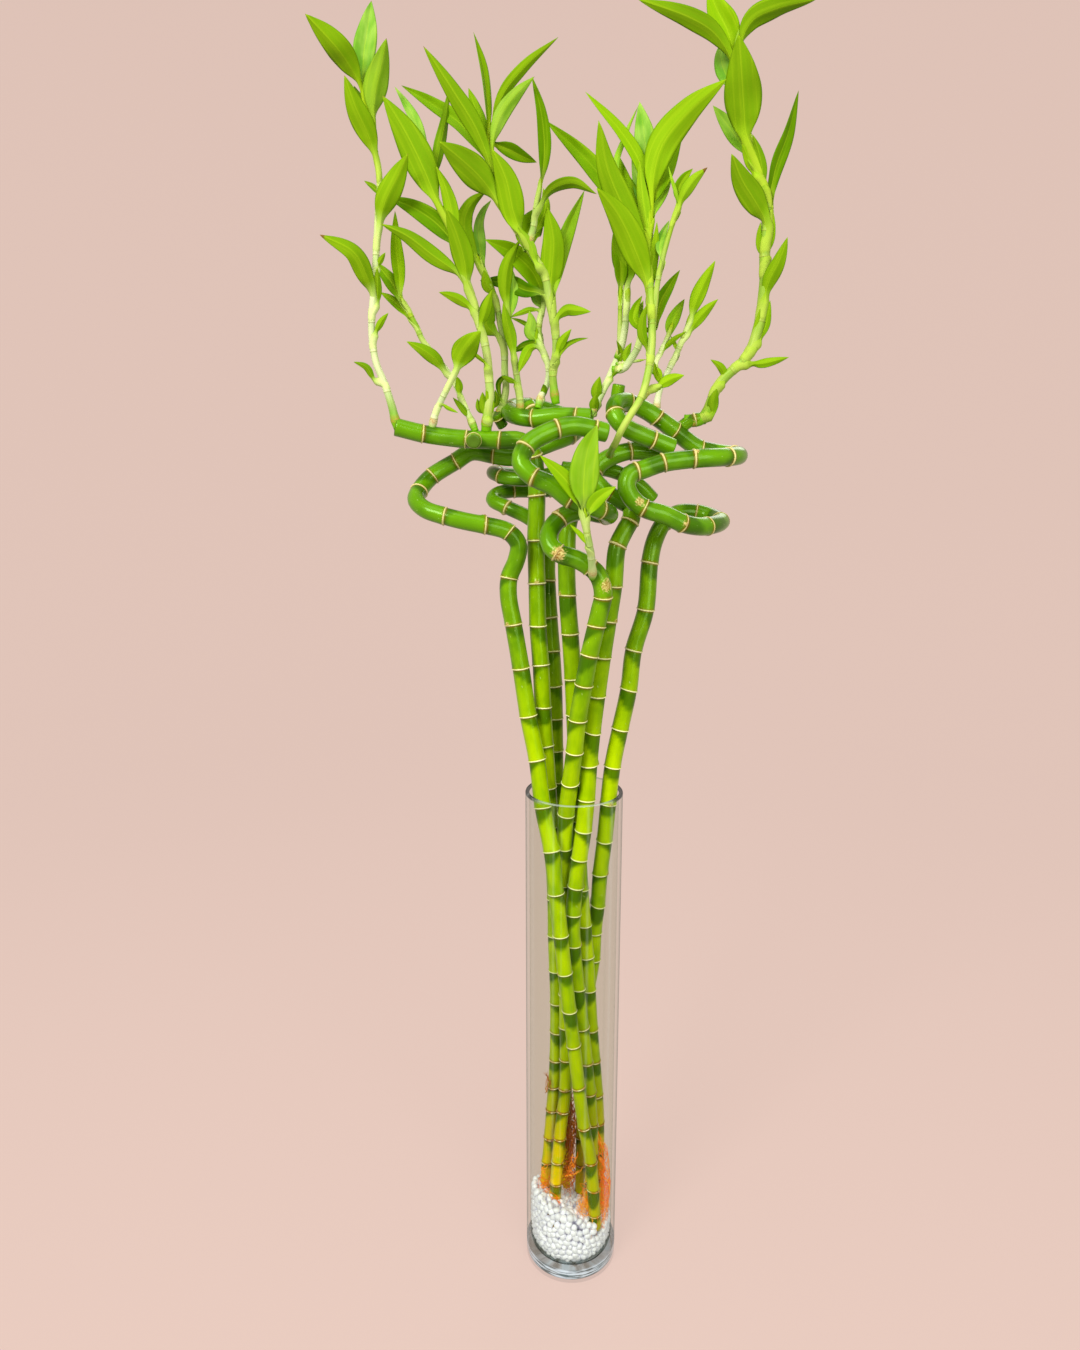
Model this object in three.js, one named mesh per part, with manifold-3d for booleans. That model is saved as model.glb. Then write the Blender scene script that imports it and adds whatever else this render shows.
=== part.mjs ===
// Lucky bamboo: seven curled canes standing in pebbles in a tall glass vase.
// Millimetres, +Z up. The origin is the centre of the vase's foot.
// Run with the packages three and manifold-3d.

import * as THREE from 'three';
import { mergeVertices } from 'three/addons/utils/BufferGeometryUtils.js';
import Module from 'manifold-3d';

const wasm = await Module();
wasm.setup();

// Driving dimensions
const VASE_RADIUS = 50;
const VASE_HEIGHT = 550;
const WALL = 4;
const FLOOR = 14;
const FOOT_RADIUS = 44;
const PEBBLE_LEVEL = 42;
const PEBBLE_RADIUS = 6.5;
const CANE_RADIUS = 8.8;
const CANE_FOOT_RADIUS = 8.6;
const GAP = 0.35;
const SMALLEST_DETAIL = 0.06;

// The plant is laid out as it is seen from the front. A point is given by its place across and
// its height on the upright plane through the vase's axis, and by its depth behind that plane.
const EYE = new THREE.Vector3(-35, -900, 860);

function seen([across, height, depth]) {
  const spread = (depth - EYE.y) / -EYE.y;
  return new THREE.Vector3(
    EYE.x + (across - EYE.x) * spread,
    depth,
    EYE.z + (height - EYE.z) * spread,
  );
}

function routeCurve(points) {
  return new THREE.CatmullRomCurve3(points.map(seen), false, 'centripetal');
}

// Stations along a route: close together where it bends, far apart where it is straight
function stations(curve, bend, stride) {
  const fine = curve.points.length * 12;
  const list = [];
  let lastTangent = null;
  let lastPlace = null;
  for (let i = 0; i <= fine; i += 1) {
    const t = i / fine;
    const place = curve.getPoint(t);
    const tangent = curve.getTangent(t);
    const turned = lastTangent ? tangent.angleTo(lastTangent) : Infinity;
    const gone = lastPlace ? place.distanceTo(lastPlace) : Infinity;
    if (turned > bend || gone > stride || i === fine) {
      if (i === fine && gone < 0.4 * stride && turned < 0.5 * bend && list.length > 2) list.pop();
      list.push({ t, place, tangent });
      lastTangent = tangent;
      lastPlace = place;
    }
  }
  return list;
}

// A closed skin over rings of points, with a fan over each end
function loft(rings) {
  const count = rings[0].length;
  const positions = [];
  const faces = [];
  for (const ring of rings) for (const point of ring) positions.push(point.x, point.y, point.z);
  for (let r = 0; r + 1 < rings.length; r += 1) {
    for (let i = 0; i < count; i += 1) {
      const a = r * count + i;
      const b = r * count + ((i + 1) % count);
      faces.push(a, b, b + count, a, b + count, a + count);
    }
  }
  const ends = [[0, true], [(rings.length - 1) * count, false]];
  for (const [first, flip] of ends) {
    const ring = rings[first / count];
    const middle = ring.reduce((sum, point) => sum.add(point), new THREE.Vector3());
    middle.divideScalar(count);
    const centre = positions.length / 3;
    positions.push(middle.x, middle.y, middle.z);
    for (let i = 0; i < count; i += 1) {
      const a = first + i;
      const b = first + ((i + 1) % count);
      if (flip) faces.push(b, a, centre);
      else faces.push(a, b, centre);
    }
  }
  const geometry = new THREE.BufferGeometry();
  geometry.setAttribute('position', new THREE.Float32BufferAttribute(positions, 3));
  geometry.setIndex(faces);
  return outward(geometry);
}

// Turns the faces round if they point inwards
function outward(geometry) {
  const position = geometry.getAttribute('position');
  const index = geometry.getIndex().array;
  const a = new THREE.Vector3();
  const b = new THREE.Vector3();
  const c = new THREE.Vector3();
  let volume = 0;
  for (let i = 0; i < index.length; i += 3) {
    a.fromBufferAttribute(position, index[i]);
    b.fromBufferAttribute(position, index[i + 1]);
    c.fromBufferAttribute(position, index[i + 2]);
    volume += a.dot(b.cross(c));
  }
  if (volume < 0) {
    for (let i = 0; i < index.length; i += 3) {
      [index[i], index[i + 1]] = [index[i + 1], index[i]];
    }
  }
  return geometry;
}

function solidOf(geometry) {
  const plain = geometry.clone();
  plain.deleteAttribute('normal');
  plain.deleteAttribute('uv');
  const merged = mergeVertices(plain, 1e-4);
  return new wasm.Manifold(new wasm.Mesh({
    numProp: 3,
    vertProperties: new Float32Array(merged.getAttribute('position').array),
    triVerts: new Uint32Array(merged.getIndex().array),
  }));
}

function geometryOf(solid) {
  const mesh = solid.getMesh();
  const geometry = new THREE.BufferGeometry();
  geometry.setAttribute('position', new THREE.Float32BufferAttribute(mesh.vertProperties, 3));
  geometry.setIndex(Array.from(mesh.triVerts));
  geometry.computeVertexNormals();
  return geometry;
}

// The largest piece of a solid that a cut has divided, without its slivers
function largest(solid) {
  const pieces = solid.simplify(SMALLEST_DETAIL).decompose();
  return pieces.reduce((best, piece) => (piece.volume() > best.volume() ? piece : best));
}

// A round stem along a route; radii run from its start to its end
function stem(points, radii, { sides = 8, bend = 0.26, stride = 60, grow = 0 } = {}) {
  const curve = routeCurve(points);
  const list = stations(curve, bend, stride);
  let across = new THREE.Vector3(1, 0, 0);
  if (Math.abs(list[0].tangent.x) > 0.8) across.set(0, 1, 0);
  const rings = list.map(({ t, place, tangent }) => {
    across = across.clone().addScaledVector(tangent, -across.dot(tangent)).normalize();
    const other = new THREE.Vector3().crossVectors(tangent, across);
    const spot = t * (radii.length - 1);
    const low = Math.min(Math.floor(spot), radii.length - 2);
    const radius = THREE.MathUtils.lerp(radii[low], radii[low + 1], spot - low) + grow;
    return Array.from({ length: sides }, (_, i) => {
      const angle = (i / sides) * 2 * Math.PI;
      return place.clone()
        .addScaledVector(across, radius * Math.cos(angle))
        .addScaledVector(other, radius * Math.sin(angle));
    });
  });
  return loft(rings);
}

// A leaf blade: half-widths along it as shares of its full half-width
const BLADE = [
  [0, 0.34], [0.1, 0.42], [0.25, 0.78], [0.42, 1], [0.6, 0.95], [0.78, 0.62], [0.92, 0.24], [1, 0.03],
];
const BLADE_THICKNESS = 1.3;
const BLADE_FOLD = THREE.MathUtils.degToRad(18);

// A leaf along a route. Its face looks to the front, turned about its midrib by an angle in
// degrees, and its two halves rise from the midrib by the fold. Grown, it is the room that
// its neighbours leave free.
function blade(points, width, turn = 0, grow = 0) {
  const curve = routeCurve(points);
  const rings = BLADE.map(([t, share]) => {
    const place = curve.getPoint(t);
    const tangent = curve.getTangent(t);
    const facing = EYE.clone().sub(place).normalize();
    facing.addScaledVector(tangent, -facing.dot(tangent)).normalize();
    facing.applyAxisAngle(tangent, THREE.MathUtils.degToRad(turn));
    const side = new THREE.Vector3().crossVectors(tangent, facing);
    const half = 0.5 * width * share + grow;
    const lift = half * Math.sin(BLADE_FOLD);
    const reach = half * Math.cos(BLADE_FOLD);
    const thick = 0.5 * BLADE_THICKNESS * Math.min(1, 0.3 + share) + grow;
    return [
      place.clone().addScaledVector(side, -reach).addScaledVector(facing, lift),
      place.clone().addScaledVector(facing, thick),
      place.clone().addScaledVector(side, reach).addScaledVector(facing, lift),
      place.clone().addScaledVector(facing, -thick),
    ];
  });
  return loft(rings);
}

// Colours
const GLASS = new THREE.MeshStandardMaterial({ color: 0xdfe6e2, roughness: 0.05, transparent: true, opacity: 0.35 });
const PEBBLE = new THREE.MeshStandardMaterial({ color: 0xece9e2, roughness: 0.35 });
const CANE = new THREE.MeshStandardMaterial({ color: 0x6fa81c, roughness: 0.35 });
const SHOOT = new THREE.MeshStandardMaterial({ color: 0xb9d65a, roughness: 0.4 });
const LEAF = new THREE.MeshStandardMaterial({ color: 0x7fb414, roughness: 0.4 });
const ROOT = new THREE.MeshStandardMaterial({ color: 0xc0602a, roughness: 0.7 });

const bamboo = new THREE.Group();
bamboo.name = 'lucky_bamboo';

function add(name, geometry, material) {
  const mesh = new THREE.Mesh(geometry, material.clone());
  mesh.name = name;
  bamboo.add(mesh);
  return mesh;
}

// Vase: a straight glass cylinder with a thick floor, a rounded heel and a polished rim
function vaseGeometry() {
  const inner = VASE_RADIUS - WALL;
  const outline = [
    [0, 0], [FOOT_RADIUS, 0], [VASE_RADIUS - 2, 1.8], [VASE_RADIUS, 6],
    [VASE_RADIUS, VASE_HEIGHT - 1.5], [VASE_RADIUS - 1.2, VASE_HEIGHT],
    [inner + 1.2, VASE_HEIGHT], [inner, VASE_HEIGHT - 1.5],
    [inner, FLOOR + 7], [inner - 2.2, FLOOR + 2.2], [inner - 7, FLOOR], [0, FLOOR],
  ];
  const geometry = new THREE.LatheGeometry(outline.map(([r, z]) => new THREE.Vector2(r, z)), 32);
  geometry.rotateX(Math.PI / 2);
  return geometryOf(solidOf(geometry));
}

// Canes: from the cut foot in the pebbles, up through the vase, round the curls to the tip
const CANES = {
  cane_a: [
    [30, -3, -22], [22, 111, -30], [14, 156, -31], [2, 256, -33], [-8, 341, -33], [-18, 435, -31],
    [-23, 483, -26], [-32, 530, -16], [-38, 581, -11], [-47, 629, -7], [-54, 677, -4], [-61, 720, -2],
    [-66, 750, -1], [-65, 768, 0], [-58, 785, 0], [-56, 800, 0], [-66, 812, 0], [-87, 818, -2],
    [-107, 822, -2], [-127, 827, 0], [-145, 833, 6], [-154, 842, 18], [-150, 852, 32], [-139, 864, 42],
    [-116, 878, 46], [-100, 887, 46], [-79, 884, 45], [-61, 882, 44], [-45, 888, 48], [-25, 895, 56],
    [-5, 903, 68], [1, 912, 84], [-12, 920, 97], [-35, 927, 98], [-55, 929, 82], [-64, 926, 62],
    [-60, 921, 43], [-42, 918, 33], [-19, 920, 28], [13, 919, 24],
  ],
  cane_b: [
    [-29, 26, 9], [-28, 85, 11], [-24, 143, 13], [-18, 238, 14], [-17, 309, 14], [-19, 380, 13],
    [-20, 441, 12], [-27, 561, 4], [-32, 637, 7], [-34, 679, 9], [-37, 719, 12], [-38, 762, 15],
    [-39, 805, 18], [-38, 846, 19], [-39, 868, 20], [-42, 886, 20], [-53, 897, 19], [-73, 898, 18],
    [-105, 899, 16], [-125, 901, 14], [-146, 904, 11], [-171, 910, 8],
  ],
  cane_c: [
    [-8, 42, 27], [-6, 168, 27], [-9, 318, 31], [-15, 445, 31], [-19, 568, 26], [-21, 660, 30],
    [-25, 728, 34], [-27, 770, 38], [-28, 802, 40], [-36, 817, 41], [-47, 826, 42], [-66, 835, 46],
    [-80, 842, 56], [-76, 848, 68], [-61, 851, 75], [-40, 851, 77], [-20, 852, 82], [-10, 854, 95],
    [-20, 858, 108], [-42, 862, 110], [-64, 866, 102], [-78, 868, 84], [-78, 867, 64], [-66, 863, 49],
    [-46, 862, 43], [-25, 866, 41], [-5, 870, 37], [22, 872, 32], [42, 867, 30], [60, 856, 30],
    [73, 843, 33],
  ],
  cane_d: [
    [31, 29, 12], [30, 157, 9], [28, 196, 7], [21, 277, 3], [15, 363, 1], [7, 455, 2], [3, 557, 2],
    [-2, 667, 0], [-5, 711, -2], [-8, 749, -3], [-9, 795, -2], [-7, 822, 2], [2, 845, 7],
    [12, 862, 10], [22, 876, 12], [36, 884, 14], [52, 888, 16], [84, 886, 18],
  ],
  cane_e: [
    [-19, 10, -9], [-17, 83, -7], [-13, 142, -4], [-7, 205, -3], [-7, 300, -2], [-8, 430, -3],
    [-10, 487, -8], [-8, 522, -15], [-4, 557, -26], [0, 590, -33], [3, 622, -38], [9, 660, -44], [14, 689, -48],
    [24, 735, -53], [27, 752, -54], [21, 771, -55], [2, 785, -58], [-16, 791, -60], [-26, 801, -56],
    [-24, 815, -47], [-12, 827, -38], [6, 832, -31], [22, 829, -33], [31, 828, -45], [29, 831, -59],
    [18, 835, -68], [-5, 843, -72], [-23, 856, -72], [-41, 864, -71], [-53, 877, -67], [-48, 892, -61],
    [-30, 904, -56], [-4, 911, -50], [28, 905, -45],
  ],
  cane_f: [
    [20, 15, -3], [23, 150, -10], [16, 235, -14], [6, 324, -17], [0, 390, -19], [2, 441, -20],
    [10, 505, -21], [13, 539, -19], [15, 576, -19], [18, 613, -21], [27, 688, -24], [32, 724, -26], [37, 760, -27],
    [40, 797, -26], [47, 813, -22], [53, 825, -17], [52, 836, -13], [42, 842, -12], [30, 848, -13],
    [19, 858, -15], [6, 867, -17], [-14, 870, -18],
  ],
  cane_g: [
    [11, 38, 22], [12, 167, 22], [16, 313, 21], [22, 361, 20], [23, 392, 19], [26, 424, 13],
    [28, 458, 5], [32, 495, -1], [39, 575, -4], [46, 614, -3], [54, 656, -1], [58, 695, 2], [69, 736, 6], [72, 782, 11],
    [76, 803, 15], [85, 821, 23], [99, 830, 31], [116, 830, 34], [131, 826, 27], [139, 822, 10],
    [134, 819, -8], [120, 817, -24], [103, 820, -34], [86, 828, -39], [66, 834, -42], [54, 843, -42],
    [48, 855, -40], [51, 866, -37], [64, 871, -33], [82, 877, -28], [95, 879, -26], [115, 881, -23],
    [135, 882, -17], [150, 883, -4], [154, 884, 12], [144, 885, 28], [130, 887, 36], [115, 891, 37],
    [104, 898, 35], [92, 907, 32], [78, 917, 28], [61, 927, 24], [45, 933, 14], [36, 930, 0],
    [37, 919, -9], [47, 909, -12], [60, 903, -10], [73, 898, -7], [91, 891, -4],
  ],
};

const CANE_FACETS = { sides: 8, bend: 0.29, stride: 70 };
const grown = {};
for (const [name, points] of Object.entries(CANES)) {
  const radii = [CANE_FOOT_RADIUS, CANE_RADIUS, CANE_RADIUS, CANE_RADIUS];
  add(name, geometryOf(solidOf(stem(points, radii, CANE_FACETS))), CANE);
  grown[name] = solidOf(stem(points, radii, { ...CANE_FACETS, grow: GAP }));
}

// Shoots: each rises from a cane, or from another shoot, cut to sit on it with a hair of clearance.
// A leaf is [name, route from its stem to its tip, width, turn]. Leaves with a name are pieces of
// their own; the small nameless ones at the joints are one with their stem.
const SHOOTS = {
  shoot_far_left: {
    on: 'cane_b',
    route: [[-169, 908, 8], [-175, 931, 6], [-182, 953, 4], [-191, 980, 0], [-190, 1013, -2],
      [-186, 1057, -4], [-182, 1088, -5], [-180, 1129, -6], [-182, 1150, -7], [-187, 1185, -8]],
    radii: [6, 5, 4.6, 4.6, 4.4, 4, 3],
    leaves: [
      ['leaf_far_left_1', [[-188, 1178, -8], [-206, 1206, -20], [-224, 1233, -32], [-239, 1256, -46]], 24, -10],
      ['leaf_far_left_2', [[-187, 1182, -8], [-189, 1212, -2], [-184, 1245, 2], [-180, 1268, 0]], 21, 0],
      ['leaf_far_left_3', [[-184, 1152, -7], [-178, 1180, -18], [-170, 1210, -26], [-168, 1238, -30]], 23, 14],
      ['leaf_far_left_4', [[-180, 1122, -6], [-184, 1148, -20], [-199, 1178, -32], [-206, 1208, -40]], 25, 0],
      ['leaf_far_left_5', [[-181, 1086, -5], [-178, 1104, -16], [-165, 1124, -26], [-153, 1147, -34]], 24, 0],
      ['leaf_far_left_6', [[-189, 1012, -2], [-196, 1040, -12], [-206, 1064, -24], [-234, 1081, -40]], 18, 20],
      [null, [[-189, 994, -1], [-181, 1003, -6], [-174, 1012, -10]], 7, 0],
      [null, [[-181, 1112, -6], [-187, 1120, -2], [-193, 1124, 2]], 6, 0],
      [null, [[-189, 952, 2], [-198, 964, -2], [-209, 968, -6]], 8, 0],
    ],
  },
  shoot_left_front: {
    on: 'cane_b',
    route: [[-138, 902, 12], [-132, 925, 5], [-125, 939, -1], [-114, 960, -6]],
    radii: [5.4, 4.4, 4, 3.6],
    leaves: [
      ['leaf_left_front_1', [[-117, 955, -5], [-108, 972, -12], [-101, 984, -18], [-91, 994, -26]], 24, 6],
    ],
  },
  shoot_left_back: {
    on: 'cane_b',
    route: [[-98, 899, 17], [-104, 924, 20], [-111, 943, 22], [-122, 960, 22], [-143, 988, 19],
      [-162, 1027, 12]],
    radii: [5, 4.4, 4, 3.6, 3],
    leaves: [
      [null, [[-160, 1022, 12], [-162, 1050, 14], [-166, 1075, 14], [-166, 1101, 10]], 15, 10],
      [null, [[-128, 968, 21], [-138, 978, 14], [-150, 985, 8], [-159, 989, 2]], 16, 0],
      [null, [[-155, 1012, 15], [-170, 1038, 22], [-183, 1054, 28]], 13, 30],
      [null, [[-150, 1002, 17], [-166, 1018, 22], [-182, 1029, 24]], 10, 20],
    ],
  },
  shoot_middle_left: {
    on: 'cane_b',
    route: [[-84, 897, 17], [-85, 918, 10], [-85, 938, 6], [-88, 968, 2], [-89, 999, -2],
      [-97, 1020, -4], [-103, 1042, -6], [-111, 1068, -7], [-124, 1098, -8]],
    radii: [7, 6, 5.4, 5.2, 5, 4.4, 3.6],
    leaves: [
      ['leaf_middle_left_1', [[-100, 1033, -5], [-101, 1056, -20], [-109, 1080, -30], [-120, 1103, -36]], 26, 0],
      ['leaf_middle_left_2', [[-107, 1054, -6], [-128, 1063, -18], [-152, 1078, -26], [-178, 1096, -30]], 19, 0],
      ['leaf_middle_left_3', [[-112, 1070, -7], [-130, 1082, -4], [-150, 1098, 0], [-172, 1112, 2]], 22, 0],
      ['leaf_middle_left_4', [[-122, 1092, -8], [-131, 1122, -12], [-148, 1158, -18], [-172, 1194, -26]], 31, 0],
      [null, [[-121, 1091, -8], [-114, 1112, 2], [-127, 1137, 10], [-118, 1200, 14]], 18, 40],
      [null, [[-97, 1019, -4], [-112, 1024, -12], [-128, 1031, -18]], 10, 0],
      [null, [[-88, 972, 2], [-98, 984, -8], [-108, 989, -14]], 7, 0],
    ],
  },
  shoot_middle_back: {
    on: 'cane_a',
    route: [[-64, 924, 60], [-68, 938, 50], [-71, 961, 44], [-71, 1012, 36], [-78, 1042, 32],
      [-94, 1064, 28]],
    radii: [7, 5.4, 5, 4.6, 4],
    leaves: [
      [null, [[-88, 1057, 29], [-97, 1084, 20], [-90, 1108, 14], [-79, 1118, 8]], 22, 0],
      [null, [[-77, 1040, 32], [-82, 1064, 40], [-80, 1090, 44], [-74, 1112, 46]], 18, 30],
      [null, [[-71, 990, 39], [-82, 1002, 32], [-89, 1020, 28]], 14, 0],
    ],
  },
  shoot_tall: {
    on: 'cane_a',
    route: [[-20, 919, 28], [-22, 945, 24], [-22, 968, 20], [-23, 994, 16], [-26, 1021, 12],
      [-31, 1037, 8], [-42, 1061, 4], [-53, 1079, 0], [-70, 1101, -4], [-77, 1120, -6],
      [-78, 1145, -7], [-79, 1178, -8]],
    radii: [6.4, 6, 5.8, 5.6, 5.4, 5, 4, 2.8],
    leaves: [
      [null, [[-79, 1168, -8], [-82, 1190, -6], [-84, 1214, -4], [-92, 1243, -2]], 15, 45],
      ['leaf_tall_1', [[-78, 1160, -7], [-66, 1194, -16], [-46, 1219, -24], [-19, 1239, -28]], 17, 20],
      ['leaf_tall_2', [[-78, 1144, -7], [-70, 1166, -20], [-58, 1190, -30], [-41, 1209, -38]], 19, 0],
      ['leaf_tall_3', [[-77, 1132, -6], [-91, 1162, -20], [-112, 1198, -34], [-137, 1233, -48]], 20, 8],
      ['leaf_tall_4', [[-74, 1110, -5], [-88, 1122, -20], [-104, 1138, -32], [-126, 1156, -44]], 32, 0],
      ['leaf_tall_5', [[-57, 1083, -1], [-52, 1104, -14], [-60, 1130, -22], [-77, 1150, -26]], 28, 0],
      [null, [[-78, 1150, -7], [-60, 1152, 6], [-38, 1141, 12]], 14, 0],
      [null, [[-79, 1158, -8], [-88, 1176, 4], [-100, 1196, 12]], 14, 20],
      [null, [[-78, 1136, -7], [-98, 1148, 14], [-118, 1170, 28], [-156, 1203, 34]], 14, 10],
    ],
  },
  shoot_tall_fork: {
    on: 'shoot_tall',
    route: [[-45, 1066, 3], [-41, 1086, -6], [-37, 1106, -10], [-34, 1136, -12]],
    radii: [4.6, 4.4, 4, 3],
    leaves: [
      ['leaf_fork_1', [[-34, 1130, -12], [-27, 1152, -20], [-30, 1180, -26], [-40, 1209, -28]], 17, 10],
      ['leaf_fork_2', [[-36, 1108, -11], [-26, 1120, -24], [-4, 1124, -34], [16, 1113, -42]], 14, 30],
      [null, [[-41, 1084, -6], [-45, 1098, 4], [-44, 1110, 8], [-38, 1120, 12]], 22, 0],
    ],
  },
  shoot_pair: {
    on: 'cane_a',
    route: [[-38, 919, 33], [-33, 940, 38], [-27, 962, 38], [-33, 990, 34], [-38, 1012, 30]],
    radii: [5, 4.4, 4, 3.4],
    leaves: [
      ['leaf_pair_1', [[-37, 1008, 30], [-40, 1040, 24], [-60, 1068, 18], [-84, 1076, 10]], 19, 10],
      [null, [[-34, 993, 34], [-50, 1008, 40], [-66, 1009, 44]], 7, 0],
      [null, [[-28, 968, 38], [-40, 982, 30], [-42, 990, 28]], 12, 0],
    ],
  },
  shoot_low_left: {
    on: 'cane_a',
    route: [[-52, 920, 39], [-55, 944, 36], [-60, 974, 30], [-64, 1008, 26]],
    radii: [5.4, 4.8, 4.4, 3.6],
    leaves: [
      [null, [[-63, 1002, 26], [-66, 1022, 18], [-62, 1040, 12], [-50, 1050, 8]], 15, 20],
    ],
  },
  shoot_front: {
    on: 'cane_e',
    route: [[17, 774, -55], [16, 782, -68], [14, 797, -80], [12, 815, -88], [10, 830, -90], [9, 842, -91]],
    radii: [6, 5.6, 4.2, 3.8, 3.4],
    leaves: [
      ['leaf_front_1', [[9, 836, -91], [9, 862, -94], [12, 888, -96], [19, 912, -96]], 27, 0],
      ['leaf_front_2', [[10, 832, -90], [0, 848, -94], [-14, 866, -96], [-33, 883, -96]], 15, 10],
      [null, [[11, 826, -90], [17, 842, -94], [28, 850, -96], [37, 855, -97]], 13, 0],
      [null, [[14, 799, -81], [4, 809, -87], [-5, 816, -90]], 8, 12],
    ],
  },
  shoot_right_middle: {
    on: 'cane_d',
    route: [[32, 882, 13], [33, 888, -6], [37, 896, -22], [42, 907, -30], [51, 922, -30],
      [60, 938, -26], [66, 955, -22], [68, 980, -18], [67, 1010, -14], [64, 1058, -12],
      [66, 1100, -12], [65, 1132, -12]],
    radii: [5.6, 5.4, 5.4, 5.4, 5.2, 4.8, 4, 3],
    leaves: [
      ['leaf_right_middle_1', [[65, 1126, -12], [66, 1150, -4], [60, 1172, 2], [53, 1190, 2]], 22, 0],
      ['leaf_right_middle_2', [[66, 1118, -12], [76, 1150, -20], [96, 1184, -28], [131, 1208, -36]], 26, 0],
      ['leaf_right_middle_3', [[64, 1060, -12], [46, 1096, -26], [30, 1138, -38], [20, 1176, -48]], 24, 0],
      ['leaf_right_middle_4', [[64, 1056, -12], [50, 1086, 2], [38, 1120, 8], [34, 1142, 10]], 28, 0],
      ['leaf_right_middle_5', [[65, 1044, -13], [50, 1062, -30], [34, 1090, -44], [16, 1116, -56]], 26, 0],
      ['leaf_right_middle_6', [[66, 1026, -13], [76, 1064, -24], [86, 1100, -32], [114, 1135, -40]], 23, 10],
      [null, [[65, 1088, -12], [44, 1116, 2], [18, 1148, 10], [-28, 1176, 14]], 15, 10],
      [null, [[65, 1110, -12], [76, 1128, -2], [91, 1146, 4]], 13, 0],
      [null, [[66, 1024, -13], [80, 1034, -4], [92, 1046, 2]], 11, 0],
      [null, [[65, 1104, -12], [36, 1146, -8], [5, 1196, -4]], 13, 20],
      [null, [[67, 1000, -15], [58, 1012, -24], [53, 1022, -30]], 10, 0],
    ],
  },
  shoot_right_inner: {
    on: 'cane_a',
    route: [[12, 918, 24], [20, 934, 24], [29, 954, 22], [37, 972, 20], [40, 989, 18],
      [45, 1020, 14], [46, 1040, 12]],
    radii: [5, 4.6, 4.4, 4, 3.2],
    leaves: [
      ['leaf_right_inner_1', [[46, 1034, 12], [43, 1054, 8], [36, 1072, 2], [33, 1090, -4]], 22, 0],
    ],
  },
  shoot_right_small: {
    on: 'cane_g',
    route: [[76, 917, 28], [77, 936, 26], [80, 949, 24], [92, 975, 22], [100, 998, 20], [104, 1009, 19]],
    radii: [4.4, 3.8, 3.4, 3.2],
    leaves: [
      [null, [[102, 1004, 19], [106, 1024, 16], [114, 1042, 12], [125, 1058, 8]], 16, 10],
      [null, [[99, 995, 20], [110, 1006, 14], [128, 1022, 8]], 12, 0],
      [null, [[78, 943, 25], [87, 950, 18], [97, 957, 14]], 9, 0],
      [null, [[90, 970, 22], [88, 992, 28], [99, 1024, 34]], 14, 0],
    ],
  },
  shoot_right: {
    on: 'cane_g',
    route: [[102, 899, 35], [109, 912, 35], [120, 919, 33], [127, 927, 30], [131, 940, 28],
      [140, 954, 24], [157, 970, 20], [165, 986, 18], [169, 1008, 16], [170, 1048, 12],
      [168, 1080, 10], [170, 1098, 9], [162, 1125, 7], [153, 1155, 4], [148, 1180, 2], [138, 1212, 0]],
    radii: [6.4, 6.2, 6, 5.6, 5.6, 5.6, 5.4, 4.6, 3.6],
    leaves: [
      ['leaf_right_1', [[169, 1022, 14], [172, 1042, 4], [182, 1060, -6], [191, 1078, -14]], 18, 0],
      ['leaf_right_2', [[168, 1080, 10], [164, 1102, -4], [146, 1124, -14], [135, 1147, -24]], 25, 0],
      [null, [[169, 1096, 9], [177, 1124, 14], [186, 1160, 18], [193, 1197, 18]], 15, 30],
      ['leaf_right_3', [[151, 1160, 3], [149, 1184, -14], [146, 1214, -26], [138, 1244, -34]], 33, 0],
      ['leaf_right_4', [[154, 1150, 4], [145, 1160, 14], [130, 1172, 22], [117, 1188, 28]], 18, 0],
      ['leaf_right_5', [[140, 1205, 0], [118, 1234, -14], [86, 1252, -26], [48, 1270, -36]], 20, 0],
      ['leaf_right_6', [[139, 1208, 0], [132, 1236, 6], [122, 1262, 10], [112, 1290, 10]], 22, 0],
      ['leaf_right_7', [[141, 1204, 0], [152, 1236, -8], [174, 1256, -16], [208, 1270, -24]], 19, 20],
      [null, [[145, 1188, 1], [132, 1204, 14], [123, 1232, 20]], 16, 0],
      [null, [[159, 971, 20], [172, 971, 12], [196, 973, 6]], 9, 0],
      [null, [[139, 953, 24], [133, 962, 18], [125, 969, 14]], 9, 0],
    ],
  },
};

for (const [name, { on, route, radii, leaves }] of Object.entries(SHOOTS)) {
  const sizes = { sides: 7, bend: 0.3, stride: 45 };
  let body = solidOf(stem(route, radii, sizes));
  let taken = solidOf(stem(route, radii, { ...sizes, grow: GAP }));
  grown[name] = taken;
  for (const [, points, width, turn] of leaves.filter(([own]) => !own)) {
    body = body.add(solidOf(blade(points, width, turn)));
    taken = taken.add(solidOf(blade(points, width, turn, GAP)));
  }
  add(name, geometryOf(largest(body.subtract(grown[on]))), SHOOT);
  for (const [own, points, width, turn] of leaves.filter(([own]) => own)) {
    add(own, geometryOf(largest(solidOf(blade(points, width, turn)).subtract(taken))), LEAF);
    taken = taken.add(solidOf(blade(points, width, turn, GAP)));
  }
}

// Roots: an orange tuft at the foot of one cane and a brown one higher up at the back
const ROOTS = {
  roots_orange: {
    on: 'cane_d',
    main: [[32, 128, 10], [40, 112, 2], [37, 92, -4], [38, 72, -6]],
    side: [
      [[39, 108, 0], [36, 98, 10], [40, 84, 14]],
      [[37, 92, -4], [42, 82, -1], [41, 66, 3]],
    ],
  },
  roots_brown: {
    on: 'cane_c',
    main: [[-6, 190, 27], [3, 176, 34], [1, 150, 38], [4, 112, 37]],
    side: [
      [[3, 176, 34], [-5, 160, 39], [-6, 130, 40]],
      [[1, 152, 38], [-1, 134, 41], [-3, 112, 38]],
    ],
  },
};

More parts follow.
